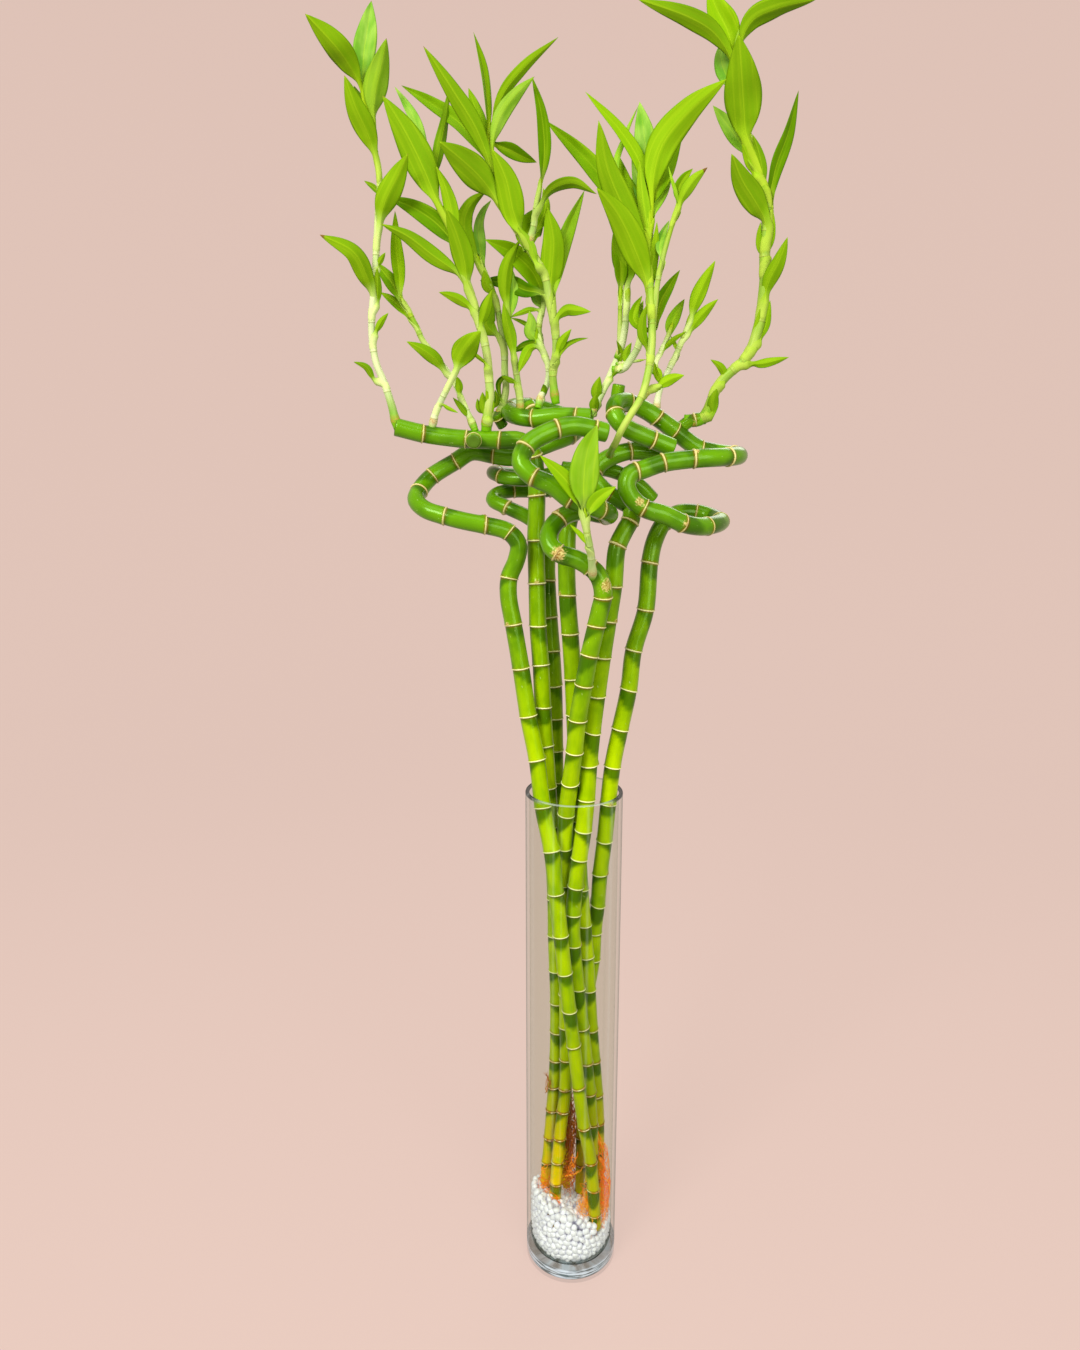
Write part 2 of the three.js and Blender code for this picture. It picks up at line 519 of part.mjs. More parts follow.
for (const [name, { on, main, side }] of Object.entries(ROOTS)) {
  let body = solidOf(stem(main, [2.6, 2, 1.2], { sides: 6 }));
  for (const twig of side) body = body.add(solidOf(stem(twig, [1.5, 0.8], { sides: 5 })));
  add(name, geometryOf(largest(body.subtract(grown[on]))), ROOT);
  grown[name] = solidOf(stem(main, [2.6 + GAP, 2 + GAP, 1.2 + GAP], { sides: 6 }));
}

// Pebbles: a filled bed with rounded stones standing out of its top, cut round the canes
function pebbleBed() {
  const edge = VASE_RADIUS - WALL - 0.6;
  const outline = [
    [0, FLOOR + GAP], [edge - 7, FLOOR + GAP], [edge - 2.2, FLOOR + 2.6], [edge, FLOOR + 7.4],
    [edge, PEBBLE_LEVEL], [0, PEBBLE_LEVEL],
  ];
  const core = new THREE.LatheGeometry(outline.map(([r, z]) => new THREE.Vector2(r, z)), 32);
  core.rotateX(Math.PI / 2);
  let bed = solidOf(core);
  const ringSpacing = 1.75 * PEBBLE_RADIUS;
  for (let ring = 0; ring < 4; ring += 1) {
    const count = ring === 0 ? 1 : Math.round(2 * Math.PI * ring);
    for (let i = 0; i < count; i += 1) {
      const angle = (i / count + 0.13 * ring) * 2 * Math.PI;
      const lift = 1.6 * Math.sin(7 * i + 3 * ring);
      const stone = new THREE.IcosahedronGeometry(PEBBLE_RADIUS, 0);
      stone.scale(1, 0.86, 0.7);
      stone.rotateZ(2 * i + ring);
      const reach = Math.min(ring * ringSpacing, edge - PEBBLE_RADIUS - 0.1);
      stone.translate(reach * Math.cos(angle), reach * Math.sin(angle), PEBBLE_LEVEL + 1.5 + lift);
      bed = bed.add(solidOf(stone));
    }
  }
  for (const cane of Object.keys(CANES)) bed = bed.subtract(grown[cane]);
  return largest(bed);
}

add('vase', vaseGeometry(), GLASS);
add('pebble_bed', geometryOf(pebbleBed()), PEBBLE);

export default bamboo;
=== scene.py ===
# Lucky bamboo: seven curled canes with leafy shoots, standing in white pebbles in a tall vase.
# Metres, +Z up. The origin is the centre of the vase's foot, and the front looks along -Y.

import math
import random

import bmesh
import bpy
import mathutils
import numpy as np
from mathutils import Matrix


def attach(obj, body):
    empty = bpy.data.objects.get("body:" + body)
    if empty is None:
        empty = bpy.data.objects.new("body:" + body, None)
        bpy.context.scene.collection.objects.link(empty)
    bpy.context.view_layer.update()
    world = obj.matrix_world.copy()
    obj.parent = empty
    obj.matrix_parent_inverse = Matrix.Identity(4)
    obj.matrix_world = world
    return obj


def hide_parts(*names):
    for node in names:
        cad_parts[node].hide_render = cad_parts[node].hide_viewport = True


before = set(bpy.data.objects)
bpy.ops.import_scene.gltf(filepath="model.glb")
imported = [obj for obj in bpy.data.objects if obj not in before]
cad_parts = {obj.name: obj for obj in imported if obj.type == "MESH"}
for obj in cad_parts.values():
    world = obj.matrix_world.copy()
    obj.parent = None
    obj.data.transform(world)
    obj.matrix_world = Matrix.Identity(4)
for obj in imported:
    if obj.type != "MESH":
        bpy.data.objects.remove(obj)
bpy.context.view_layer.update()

# The view
# The plant is looked at from 0.9 m in front of the vase, at the height of its curls and a little
# down. Its pieces are laid out from this eye: a place is (across, height, depth) in millimetres,
# across and height on the upright plane through the vase's axis, and depth behind that plane.
EYE = np.array([-0.035, -0.9, 0.86])
DEGREES_DOWN = 11.9
FILM_HEIGHT = 36
FOCAL_LENGTH, PICTURE_HEIGHT = 920, 1350

camera = bpy.data.objects.new("camera", bpy.data.cameras.new("camera"))
camera.location = EYE
camera.rotation_euler = (math.radians(90 - DEGREES_DOWN), 0, 0)
camera.data.sensor_fit = "VERTICAL"
camera.data.sensor_height = FILM_HEIGHT
camera.data.lens = FILM_HEIGHT * FOCAL_LENGTH / PICTURE_HEIGHT
camera.data.clip_start = 0.01
bpy.context.scene.collection.objects.link(camera)
bpy.context.scene.camera = camera


def seen(place):
    """The point in metres of a place given as (across, height, depth)."""
    across, height, depth = np.array(place, float) / 1000
    spread = (depth - EYE[1]) / -EYE[1]
    flat = np.array([across, 0, height])
    return EYE + (flat - EYE) * spread


# Canes
# Each cane is one woody stem of green joints, as thick as a thumb, bent round on itself while it
# grew. A thin cream scar rings it at each joint, where an old leaf was, and some joints have a bud.
# Each is cut off square at the foot, which stands in the pebbles, and again at its upper end.
def unit(vectors):
    return vectors / np.linalg.norm(vectors, axis=-1, keepdims=True)


def ease(values, low, high):
    """0 below low, 1 above high, and smooth between."""
    share = np.clip((values - low) / (high - low), 0, 1)
    return share * share * (3 - 2 * share)


def hump(values, rise, fall):
    """0, then 1 once it has eased up over rise, then 0 once it has eased down over fall."""
    return ease(values, *rise) * (1 - ease(values, *fall))


class Route:
    """The smooth middle line of a stem, root or leaf through the places that it passes."""

    POINTS_A_SPAN = 24

    def __init__(self, places):
        knots = np.array(places)
        knots = np.vstack([2 * knots[0] - knots[1], knots, 2 * knots[-1] - knots[-2]])
        share = np.linspace(0, 1, self.POINTS_A_SPAN, endpoint=False)[:, None]
        line = []
        for before, start, end, after in zip(knots, knots[1:], knots[2:], knots[3:]):
            chord = end - start
            pairs = ((before, start), (start, end), (end, after))
            first, span, last = (math.sqrt(np.linalg.norm(b - a)) for a, b in pairs)
            leave = (start - before) / first - (end - before) / (first + span) + chord / span
            arrive = chord / span - (after - start) / (span + last) + (after - end) / last
            leave, arrive = leave * span, arrive * span
            line.append(
                start + leave * share + (3 * chord - 2 * leave - arrive) * share**2
                + (leave + arrive - 2 * chord) * share**3
            )
        self.line = np.vstack([*line, knots[-2:-1]])
        steps = np.linalg.norm(np.diff(self.line, axis=0), axis=1)
        self.far = np.concatenate([[0], np.cumsum(steps)])
        self.length = self.far[-1]
        self.heading = unit(np.gradient(self.line, self.far, axis=0))
        mostly_back = abs(self.heading[0][1]) >= 0.8
        side = np.cross(self.heading[0], (1, 0, 0) if mostly_back else (0, 1, 0))
        sides = []
        for heading in self.heading:
            side = unit(side - heading * side.dot(heading))
            sides.append(side)
        self.side = np.array(sides)

    def _read(self, rows, far):
        return np.stack([np.interp(far, self.far, rows[:, axis]) for axis in range(3)], -1)

    def place(self, far):
        return self._read(self.line, far)

    def ways(self, far):
        """The heading and two directions across it, at distances along the line."""
        heading = unit(self._read(self.heading, far))
        side = self._read(self.side, far)
        side = unit(side - heading * (side * heading).sum(-1, keepdims=True))
        return heading, side, np.cross(heading, side)

    def nearest(self, place):
        return self.far[np.argmin(np.linalg.norm(self.line - place, axis=1))]

    def gap(self, place):
        return np.linalg.norm(self.line - place, axis=1).min()


def wrap(count, sides, first=0):
    """Four-sided faces of a skin wrapped round rings of points, open at both ends."""
    start = first + np.arange(count - 1)[:, None] * sides
    here = np.arange(sides)[None]
    there = (here + 1) % sides
    corners = [start + here, start + there, start + sides + there, start + sides + here]
    return np.stack(corners, -1).reshape(-1, 4)


def build(name, skins, finish, slot, *nodes):
    """A piece from skins, each (rings of points, its marks), with a flat face at both ends."""
    corners, faces, marks = [], [], {}
    total = 0
    for rings, notes in skins:
        count, sides = rings.shape[:2]
        ends = [total + np.arange(sides)[::-1], total + (count - 1) * sides + np.arange(sides)]
        corners.append(rings.reshape(-1, 3))
        faces += wrap(count, sides, total).tolist() + [end.tolist() for end in ends]
        for mark, values in notes.items():
            marks.setdefault(mark, []).append(values.reshape(count * sides, -1))
        total += count * sides
    marks = {mark: np.vstack(values) for mark, values in marks.items()}
    add(name, np.vstack(corners), faces, marks, finish, slot, *nodes)


def add(name, corners, faces, marks, finish, slot, *nodes):
    """A piece from its corners and faces, with marks that its finish reads at each corner."""
    mesh = bpy.data.meshes.new(name)
    mesh.from_pydata(corners.tolist(), [], faces)
    for mark, values in marks.items():
        vector = values.shape[1] == 3
        layer = mesh.attributes.new(mark, "FLOAT_VECTOR" if vector else "FLOAT", "POINT")
        layer.data.foreach_set("vector" if vector else "value", values.ravel().astype(np.float32))
    mesh.materials.append(finish)
    mesh.polygons.foreach_set("use_smooth", [True] * len(faces))
    mesh.update()
    piece = bpy.data.objects.new(name, mesh)
    bpy.context.scene.collection.objects.link(piece)
    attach(piece, "root")
    if nodes:
        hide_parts(*nodes)


def paint(red, green, blue):
    """A colour as it is seen, from 0 to 255 each, in the numbers that a shader works in."""
    shares = (
        ((level / 255 + 0.055) / 1.055) ** 2.4 if level > 10 else level / 255 / 12.92
        for level in (red, green, blue)
    )
    return (*shares, 1)


class Link:
    """The number that comes out of a node, which Python's arithmetic carries on from."""

    def __init__(self, finish, socket):
        self.finish, self.socket = finish, socket

    def _math(self, operation, *values):
        return self.finish.node("Math", {"operation": operation}, dict(enumerate(values)))

    def __add__(self, other):
        return self._math("ADD", self, other)

    def __sub__(self, other):
        return self._math("SUBTRACT", self, other)

    def __rsub__(self, other):
        return self._math("SUBTRACT", other, self)

    def __mul__(self, other):
        return self._math("MULTIPLY", self, other)

    def __pow__(self, other):
        return self._math("POWER", self, other)

    def __abs__(self):
        return self._math("ABSOLUTE", self)

    __radd__, __rmul__ = __add__, __mul__

    def rises(self, low, high):
        """0 below low, 1 above high, and smooth between."""
        limits = {"Value": self, "From Min": low, "From Max": high}
        return self.finish.node("MapRange", {"interpolation_type": "SMOOTHSTEP"}, limits)

    def or_else(self, other):
        return self._math("MAXIMUM", self, other)


class Finish:
    """A material being mixed from its colours, marks and grain."""

    def __init__(self, name):
        self.material = bpy.data.materials.new(name)
        self.material.use_nodes = True
        self.tree = self.material.node_tree
        self.tree.nodes.clear()

    def node(self, kind, settings, values, *outs):
        """One node, set up and then fed, and the link or links from the outputs asked for."""
        made = self.tree.nodes.new("ShaderNode" + kind)
        for name, setting in settings.items():
            setattr(made, name, setting)
        for name, value in values.items():
            if isinstance(value, Link):
                self.tree.links.new(value.socket, made.inputs[name])
            else:
                made.inputs[name].default_value = value
        links = [Link(self, made.outputs[out]) for out in outs or range(min(1, len(made.outputs)))]
        return links[0] if len(links) == 1 else links

    def mark(self, name):
        return self.node("Attribute", {"attribute_name": name}, {}, "Fac")

    def where(self, name):
        return self.node("Attribute", {"attribute_name": name}, {}, "Vector")

    def grain(self, place, stretch=(1, 1, 1), detail=2.0, rough=0.5):
        """A cloudy pattern, from 0 to 1, with a place's three lengths drawn out by stretch."""
        drawn = self.node("VectorMath", {"operation": "MULTIPLY"}, {0: place, 1: stretch})
        values = {"Vector": drawn, "Scale": 1, "Detail": detail, "Roughness": rough}
        return self.node("TexNoise", {}, values)

    def blend(self, share, first, second):
        first, second = (c if isinstance(c, Link) else paint(*c) for c in (first, second))
        return self.node("Mix", {"data_type": "RGBA"}, {0: share, 6: first, 7: second}, 2)

    def layered(self, colour, **layers):
        """A colour with others laid over it in turn, each (its share, the colour)."""
        for share, over in layers.values():
            colour = self.blend(share, colour, over)
        return colour

    def parts_of(self, place):
        return self.node("SeparateXYZ", {}, {0: place}, 0, 1, 2)

    def bump(self, height, millimetres, strength):
        values = {"Height": height, "Distance": millimetres / 1000, "Strength": strength}
        return self.node("Bump", {}, values)

    def coat(self, **values):
        """Ends the finish with a coloured surface."""
        names = {
            name.replace("_", " ").title().replace("Ior", "IOR"): value
            for name, value in values.items()
        }
        return self.ended(self.node("BsdfPrincipled", {}, names))

    def ended(self, surface):
        self.node("OutputMaterial", {}, {"Surface": surface})
        return self.material


# Each cane's middle line and the distances along it of its joints, then where its curl starts, how
# yellow its foot is, how much of it is buried or slimmer than usual, whether its cut end is hollow,
# and its stubs of old shoots (places, radius) and knots (place, size).
CANES = {}
CANES["a"] = {
    "route": [
        (30, -3, -22), (22, 111, -30), (14, 156, -31), (2, 256, -33), (-8, 341, -33), (-18, 435, -31),
        (-23, 483, -26), (-32, 530, -16), (-38, 581, -11), (-47, 629, -7), (-54, 677, -4), (-61, 720, -2),
        (-66, 750, -1), (-65, 768, 0), (-58, 785, 0), (-56, 800, 0), (-66, 812, 0), (-87, 818, -2),
        (-107, 822, -2), (-127, 827, 0), (-145, 833, 6), (-154, 842, 18), (-150, 852, 32), (-139, 864, 42),
        (-116, 878, 46), (-100, 887, 46), (-79, 884, 45), (-61, 882, 44), (-45, 888, 48), (-25, 895, 56),
        (-5, 903, 68), (1, 912, 84), (-12, 920, 97), (-35, 927, 98), (-55, 929, 82), (-64, 926, 62),
        (-60, 921, 43), (-42, 918, 33), (-19, 920, 28), (13, 919, 24),
    ],
    "joints": [
        48, 82, 118, 163, 213, 263, 304, 347, 389, 435, 479, 524, 573, 619, 668, 712, 758, 807, 831, 871,
        926, 949, 977, 1018, 1060, 1103, 1146, 1188, 1230, 1270, 1312,
    ],
    "curl": 760, "yellow": 0.35, "buried": 30,
    "stubs": [
        ([(-40, 916, 34), (-42, 924, 38), (-46, 930, 42)], 7.6),
        ([(-70, 911, 60), (-74, 917, 56), (-77, 922, 52)], 5.6),
    ],
}
CANES["b"] = {
    "route": [
        (-29, 26, 9), (-28, 85, 11), (-24, 143, 13), (-18, 238, 14), (-17, 309, 14), (-19, 380, 13),
        (-20, 441, 12), (-27, 561, 4), (-32, 637, 7), (-34, 679, 9), (-37, 719, 12), (-38, 762, 15),
        (-39, 805, 18), (-38, 846, 19), (-39, 868, 20), (-42, 886, 20), (-53, 897, 19), (-73, 898, 18),
        (-105, 899, 16), (-125, 901, 14), (-146, 904, 11), (-171, 910, 8),
    ],
    "joints": [
        28, 56, 84, 115, 150, 180, 213, 248, 283, 322, 364, 407, 450, 492, 535, 578, 619, 662, 702, 744,
        787, 830, 868, 908, 940, 982,
    ],
    "curl": 850, "yellow": 0.9,
    "stubs": [
        ([(-98, 899, 14), (-98, 898, 6), (-98, 897, -2)], 7.0),
    ],
}
CANES["c"] = {
    "route": [
        (-8, 42, 27), (-6, 168, 27), (-9, 318, 31), (-15, 445, 31), (-19, 568, 26), (-21, 660, 30),
        (-25, 728, 34), (-27, 770, 38), (-28, 802, 40), (-36, 817, 41), (-47, 826, 42), (-66, 835, 46),
        (-80, 842, 56), (-76, 848, 68), (-61, 851, 75), (-40, 851, 77), (-20, 852, 82), (-10, 854, 95),
        (-20, 858, 108), (-42, 862, 110), (-64, 866, 102), (-78, 868, 84), (-78, 867, 64), (-66, 863, 49),
        (-46, 862, 43), (-25, 866, 41), (-5, 870, 37), (22, 872, 32), (42, 867, 30), (60, 856, 30),
        (73, 843, 33),
    ],
    "joints": [
        34, 70, 106, 142, 178, 214, 250, 286, 322, 358, 394, 430, 465, 499, 533, 567, 601, 636, 671, 706,
        744, 792, 838, 891, 930, 966, 1004, 1042, 1080, 1114, 1149, 1206,
    ],
    "curl": 770, "yellow": 0.8, "slimmer": 1.25,
    "knots": [((29, 826, 24), 4.5)],
}
CANES["d"] = {
    "route": [
        (31, 29, 12), (30, 157, 9), (28, 196, 7), (21, 277, 3), (15, 363, 1), (7, 455, 2), (3, 557, 2),
        (-2, 667, 0), (-5, 711, -2), (-8, 749, -3), (-9, 795, -2), (-7, 822, 2), (2, 845, 7), (12, 862, 10),
        (22, 876, 12), (36, 884, 14), (52, 888, 16), (84, 886, 18),
    ],
    "joints": [
        30, 64, 100, 137, 173, 218, 258, 306, 345, 382, 422, 462, 500, 538, 576, 613, 650, 696, 734, 778,
        820, 862, 901,
    ],
    "curl": 790, "yellow": 0.9,
}
CANES["e"] = {
    "route": [
        (-19, 10, -9), (-17, 83, -7), (-13, 142, -4), (-7, 205, -3), (-7, 300, -2), (-8, 430, -3),
        (-10, 487, -8), (-8, 522, -15), (-4, 557, -26), (0, 590, -33), (3, 622, -38), (9, 660, -44),
        (14, 689, -48), (24, 735, -53), (27, 752, -54), (21, 771, -55), (2, 785, -58), (-16, 791, -60),
        (-26, 801, -56), (-24, 815, -47), (-12, 827, -38), (6, 832, -31), (22, 829, -33), (31, 828, -45),
        (29, 831, -59), (18, 835, -68), (-5, 843, -72), (-23, 856, -72), (-41, 864, -71), (-53, 877, -67),
        (-48, 892, -61), (-30, 904, -56), (-4, 911, -50), (28, 905, -45),
    ],
    "joints": [
        36, 71, 98, 127, 160, 188, 224, 262, 302, 344, 388, 430, 473, 512, 551, 586, 620, 657, 687, 716,
        744, 776, 809, 850, 901, 930, 959, 997, 1030, 1064, 1099,
    ],
    "curl": 750, "yellow": 1.0,
    "knots": [((-17, 791, -68), 6.5), ((30, 760, -61), 6.0)],
}
CANES["f"] = {
    "route": [
        (20, 15, -3), (23, 150, -10), (16, 235, -14), (6, 324, -17), (0, 390, -19), (2, 441, -20),
        (10, 505, -21), (13, 539, -19), (15, 576, -19), (18, 613, -21), (27, 688, -24), (32, 724, -26),
        (37, 760, -27), (40, 797, -26), (47, 813, -22), (53, 825, -17), (52, 836, -13), (42, 842, -12),
        (30, 848, -13), (19, 858, -15), (6, 867, -17), (-14, 870, -18),
    ],
    "joints": [
        36, 74, 112, 150, 190, 229, 272, 319, 370, 405, 436, 467, 498, 530, 567, 602, 639, 678, 714, 748,
        786, 812, 851, 882,
    ],
    "curl": 790, "yellow": 0.6,
}
CANES["g"] = {
    "route": [
        (11, 38, 22), (12, 167, 22), (16, 313, 21), (22, 361, 20), (23, 392, 19), (26, 424, 13),
        (28, 458, 5), (32, 495, -1), (39, 575, -4), (46, 614, -3), (54, 656, -1), (58, 695, 2),
        (69, 736, 6), (72, 782, 11), (76, 803, 15), (85, 821, 23), (99, 830, 31), (116, 830, 34),
        (131, 826, 27), (139, 822, 10), (134, 819, -8), (120, 817, -24), (103, 820, -34), (86, 828, -39),
        (66, 834, -42), (54, 843, -42), (48, 855, -40), (51, 866, -37), (64, 871, -33), (82, 877, -28),
        (95, 879, -26), (115, 881, -23), (135, 882, -17), (150, 883, -4), (154, 884, 12), (144, 885, 28),
        (130, 887, 36), (115, 891, 37), (104, 898, 35), (92, 907, 32), (78, 917, 28), (61, 927, 24),
        (45, 933, 14), (36, 930, 0), (37, 919, -9), (47, 909, -12), (60, 903, -10), (73, 898, -7),
        (91, 891, -4),
    ],
    "joints": [
        36, 72, 108, 144, 180, 216, 254, 294, 331, 364, 400, 440, 480, 521, 561, 601, 642, 682, 724, 770,
        812, 852, 888, 922, 953, 993, 1038, 1066, 1095, 1132, 1169, 1206, 1239, 1262, 1296, 1330, 1376,
    ],
    "curl": 780, "yellow": 0.5, "hollow": True,
    "stubs": [
        ([(97, 908, 36), (104, 914, 35), (111, 917, 34), (121, 918, 33)], 6.4),
        ([(40, 912, 26), (39, 922, 24), (38, 934, 22), (38, 941, 21), (39, 948, 20)], 7.2),
    ],
    "knots": [((61, 840, -49), 4.5), ((29, 826, 20), 4.5)],
}

# A joint's shape, in millimetres up the stem from the joint unless a name says otherwise.
RING_STEPS = np.array([-9, -6, -3.6, -2, -1.1, -0.5, -0.1, 0.2, 0.6, 1.0, 1.5, 2.4, 4, 6.5, 9.5])
JOINT_REACH = 11
WAVER, WAVER_FADE, USUAL_LIP = 0.9, 9, 0.35
SWELLING_FADE, WAIST_FADE, WAIST = 5, 3, -0.6
LIP_RISE, LIP_FALL, LIP_MIDDLE = (-0.3, 0.1), (0.7, 1.4), 0.35
BUD_RISE, BUD_FALL, BUD_HALF_ANGLE = (0.2, 1.6), (2, 7.5), 0.3
BUDDED_SHARE, SLEEPING_BUD = 0.78, 0.12
SHADE_LEAST, SHADE_MORE, SHADE_EDGE = 3, 15, (-3, 2.5)
LAST_JOINT_AHEAD, ON_THE_JOINT = 30, 0.05
BUD_STRAY, FULL_TURN = 1.2, 6.3


def ring_places(joints, length, spacing, start):
    """How far along a stem its rings of points are: close at each joint and even between."""
    even = np.arange(start, length, spacing)
    gap = np.abs(even[:, None] - joints).min(axis=1)
    fine = (joints[:, None] + RING_STEPS).ravel()
    far = np.concatenate([fine, even[gap > JOINT_REACH], [start, length]])
    return np.unique(np.round(far[(far >= start) & (far <= length)], 2))


def jointed(route, radius, joints, seed, sides=24, lip=0.35, swell=0.3, spacing=4.0, bud=0.0, start=0):
    """Rings of points of a round stem with a raised scar at each joint, and what its bark needs
    to know at each point. Lengths are millimetres here; radius gives one for each distance."""
    chance = random.Random(seed)
    length = route.length * 1000
    joints = np.array([joint for joint in joints if 1 < joint < length - 1] or [-100], float)
    far = ring_places(joints, length, spacing, start)
    turn = np.linspace(0, math.tau, sides, endpoint=False)
    tilt, phase, tone, side = (np.array([chance.random() for _ in joints]) for _ in range(4))
    alternate = math.pi * (np.arange(len(joints)) % 2)
    side = alternate + BUD_STRAY * side + chance.random() * 6

    nearest = np.abs(far[:, None] - joints).argmin(axis=1)
    gone = (far - joints[nearest])[:, None]
    wave = WAVER * tilt[nearest, None] * np.sin(turn + FULL_TURN * phase[nearest, None])
    wave = wave * np.exp(-((gone / WAVER_FADE) ** 2)) * lip / USUAL_LIP
    along = np.clip(far[:, None] + wave, start, length)
    above, below = np.exp(-np.abs(gone) / SWELLING_FADE), np.exp(-np.abs(gone) / WAIST_FADE)
    grown = np.where(gone > 0, above, WAIST * below)
    around = np.abs((turn - side[nearest, None] + math.pi) % math.tau - math.pi)
    budded = np.where(tone[nearest] > BUDDED_SHARE, 1.0, SLEEPING_BUD)[:, None]
    eye = np.exp(-((around / BUD_HALF_ANGLE) ** 2)) * hump(gone, BUD_RISE, BUD_FALL) * budded
    thick = radius(along) + swell * grown + lip * hump(gone, LIP_RISE, LIP_FALL) + bud * eye

    # The painted shade under each joint: a dark zone reaching down from the joint above, further on one side
    # so that its edge slants round the stem.
    following = np.searchsorted(joints, far + ON_THE_JOINT)
    ahead = (np.append(joints, length + LAST_JOINT_AHEAD)[following] - far)[:, None]
    slant = 0.5 + 0.5 * np.cos(turn - FULL_TURN * np.append(phase, 0.3)[following, None])
    deeper = 0.6 + 0.7 * np.append(tilt, 0.5)[following, None]
    reach = (SHADE_LEAST + SHADE_MORE * slant**1.5) * deeper
    shaded = 1 - ease(ahead, reach + SHADE_EDGE[0], reach + SHADE_EDGE[1])

    _, across, upward = route.ways(along / 1000)
    spoke = np.cos(turn)[:, None] * across + np.sin(turn)[:, None] * upward
    rings = route.place(along / 1000) + spoke * thick[..., None] / 1000
    internode = np.append(tone, chance.random())[following]
    marks = {
        "bark": np.stack([thick * np.cos(turn), thick * np.sin(turn), along], -1),
        "off": np.repeat(np.abs(gone - LIP_MIDDLE), sides, axis=1),
        "shaded": shaded,
        "tone": np.repeat(internode[:, None], sides, axis=1),
        "bud": eye,
        "risen": along / length,
    }
    return rings, marks


def closed_end(rings, marks, steps):
    """Adds rings that close a stem's upper end, each (share of its radius, rise in millimetres)."""
    rim = rings[-1]
    middle = rim.mean(axis=0)
    normal = unit(np.cross(rim[0] - middle, rim[len(rim) // 4] - middle))
    if normal @ (middle - rings[-3].mean(axis=0)) < 0:
        normal = -normal
    added = [middle + (rim - middle) * share + normal * rise / 1000 for share, rise in steps]
    more = {
        name: np.concatenate([values, np.repeat(values[-1:], len(steps), axis=0)])
        for name, values in marks.items()
    }
    more["cut"] = np.concatenate([np.zeros(rings.shape[:2]), np.ones((len(steps), len(rim)))])
    return np.concatenate([rings, added]), more


# The bark is yellow green and streaked on the straight canes, rusty and blotched at their feet, and
# a deep glossy green on the curls, with a painted shade under each joint and a cream scar round it.
bark = Finish("waxy green bark")
rolled = bark.where("bark")
off, shaded, tone, curled, cut = (bark.mark(name) for name in ("off", "shaded", "tone", "curled", "cut"))
height = bark.parts_of(bark.node("NewGeometry", {}, {}, "Position"))[2]
streak = bark.grain(rolled, (0.35, 0.35, 0.02), 3.0)
mottle = bark.grain(rolled, (0.09, 0.09, 0.05))
speck = bark.grain(rolled, (0.5, 0.5, 0.3), 1.0)
ragged = bark.grain(rolled, (0.7, 0.7, 0.7), 3.0)
feet = 1 - height.rises(0.16, 0.36)
scar = 1 - off.rises(0.45, 0.95)
scab = (bark.mark("bud") + (ragged - 0.5) * 1.6).rises(0.35, 0.75)
brown = (1 - off.rises(0.7, 3.2)) * (0.25 + feet * 0.75 + curled * 0.35)
yellow = (1 - height.rises(0.06, 0.24)) * bark.mark("yellow")

patchy = tone * 0.6 + (mottle - 0.5) * 1.4
fresh = bark.blend(patchy, (152, 186, 0), (84, 128, 0))
# Painted light: lower down, inside the vase, the straight canes are painted lighter, and a little yellower.
below = bark.blend(patchy, (192, 218, 0), (118, 162, 0))
straight = bark.blend(height.rises(0.5, 0.68), below, fresh)
aged = bark.blend((mottle - 0.3) * 1.4 * tone.rises(-0.4, 0.8), (96, 150, 4), (38, 88, 2))
corky = bark.layered(
    (250, 250, 190),
    tan_on_curls=(curled * 0.6, (206, 174, 92)),
    rusty_at_feet=(feet * streak.rises(0.3, 0.6), (206, 136, 44)),
)
flaky = bark.blend(ragged.rises(0.4, 0.6), (150, 96, 40), (216, 190, 122))
skin_colour = bark.layered(
    straight,
    older_curl=(curled, aged),
    olive_below=((1 - height.rises(0.14, 0.42)) * 0.5, (158, 166, 0)),
    yellow_foot=(yellow * mottle.rises(0.2, 0.5), (250, 206, 0)),
    # painted shade, darker under each joint
    dark_under_joint=(shaded * (1.05 - mottle * 0.35), (50, 92, 0)),
    streaks=((streak - 0.5) * 0.7, (66, 124, 0)),
    pale_specks=(speck.rises(0.74, 0.8) * 0.5, (206, 220, 140)),
    brown_beside_scar=(brown * (mottle * 1.6).rises(0.3, 0.9), (128, 74, 6)),
    cream_scar=(scar * (1 - curled * 0.2), corky),
    scabby_bud=(scab * 0.75, flaky),
    cut_end=(cut, (74, 104, 24)),
)
relief = streak * 0.25 + speck * 0.1 + scar * bark.grain(rolled, (1.6, 1.6, 1.6)) * 1.2
waxy_bark = bark.coat(
    base_color=skin_colour,
    roughness=streak * 0.16 + 0.2 + scar * 0.3 + cut * 0.3,
    normal=bark.bump(relief, 0.4, 0.6),
    specular_ior_level=0.3,
    specular_tint=paint(180, 255, 80),
    coat_weight=curled * 0.22,
    coat_roughness=0.16,
)

# A cane's radius at distances along it, in millimetres, and how its cut ends are closed.
GIRTH_AT, GIRTH = [100, 210, 330, 480, 620], [6.6, 6.9, 7.5, 8.2, 8.55]
FOOT_SPREAD, FOOT_FADE = 0.3, 30
SLIMMER_FROM, SLIMMER_TO = 640, 760
USUALLY_BURIED = 16
KNOT_RISE, KNOT_BARK = 0.8, 1.2
ROUNDED_END = [(0.97, 0.4), (0.9, 0.75), (0.72, 0.9), (0.4, 0.6), (0.1, 0.5)]
HOLLOW_END = [(0.96, 0.4), (0.84, 0.6), (0.72, 0.2), (0.62, -2), (0.5, -5), (0.1, -6)]
STUB_END = [(0.95, 0.5), (0.8, 0.9), (0.5, 0.7), (0.1, 0.4)]
STUB_TAPER, STUB_JOINT, STUB_CURLED = 0.03, 620, 0.85
CURL_BLEND = (-260, 120)
canes = {}
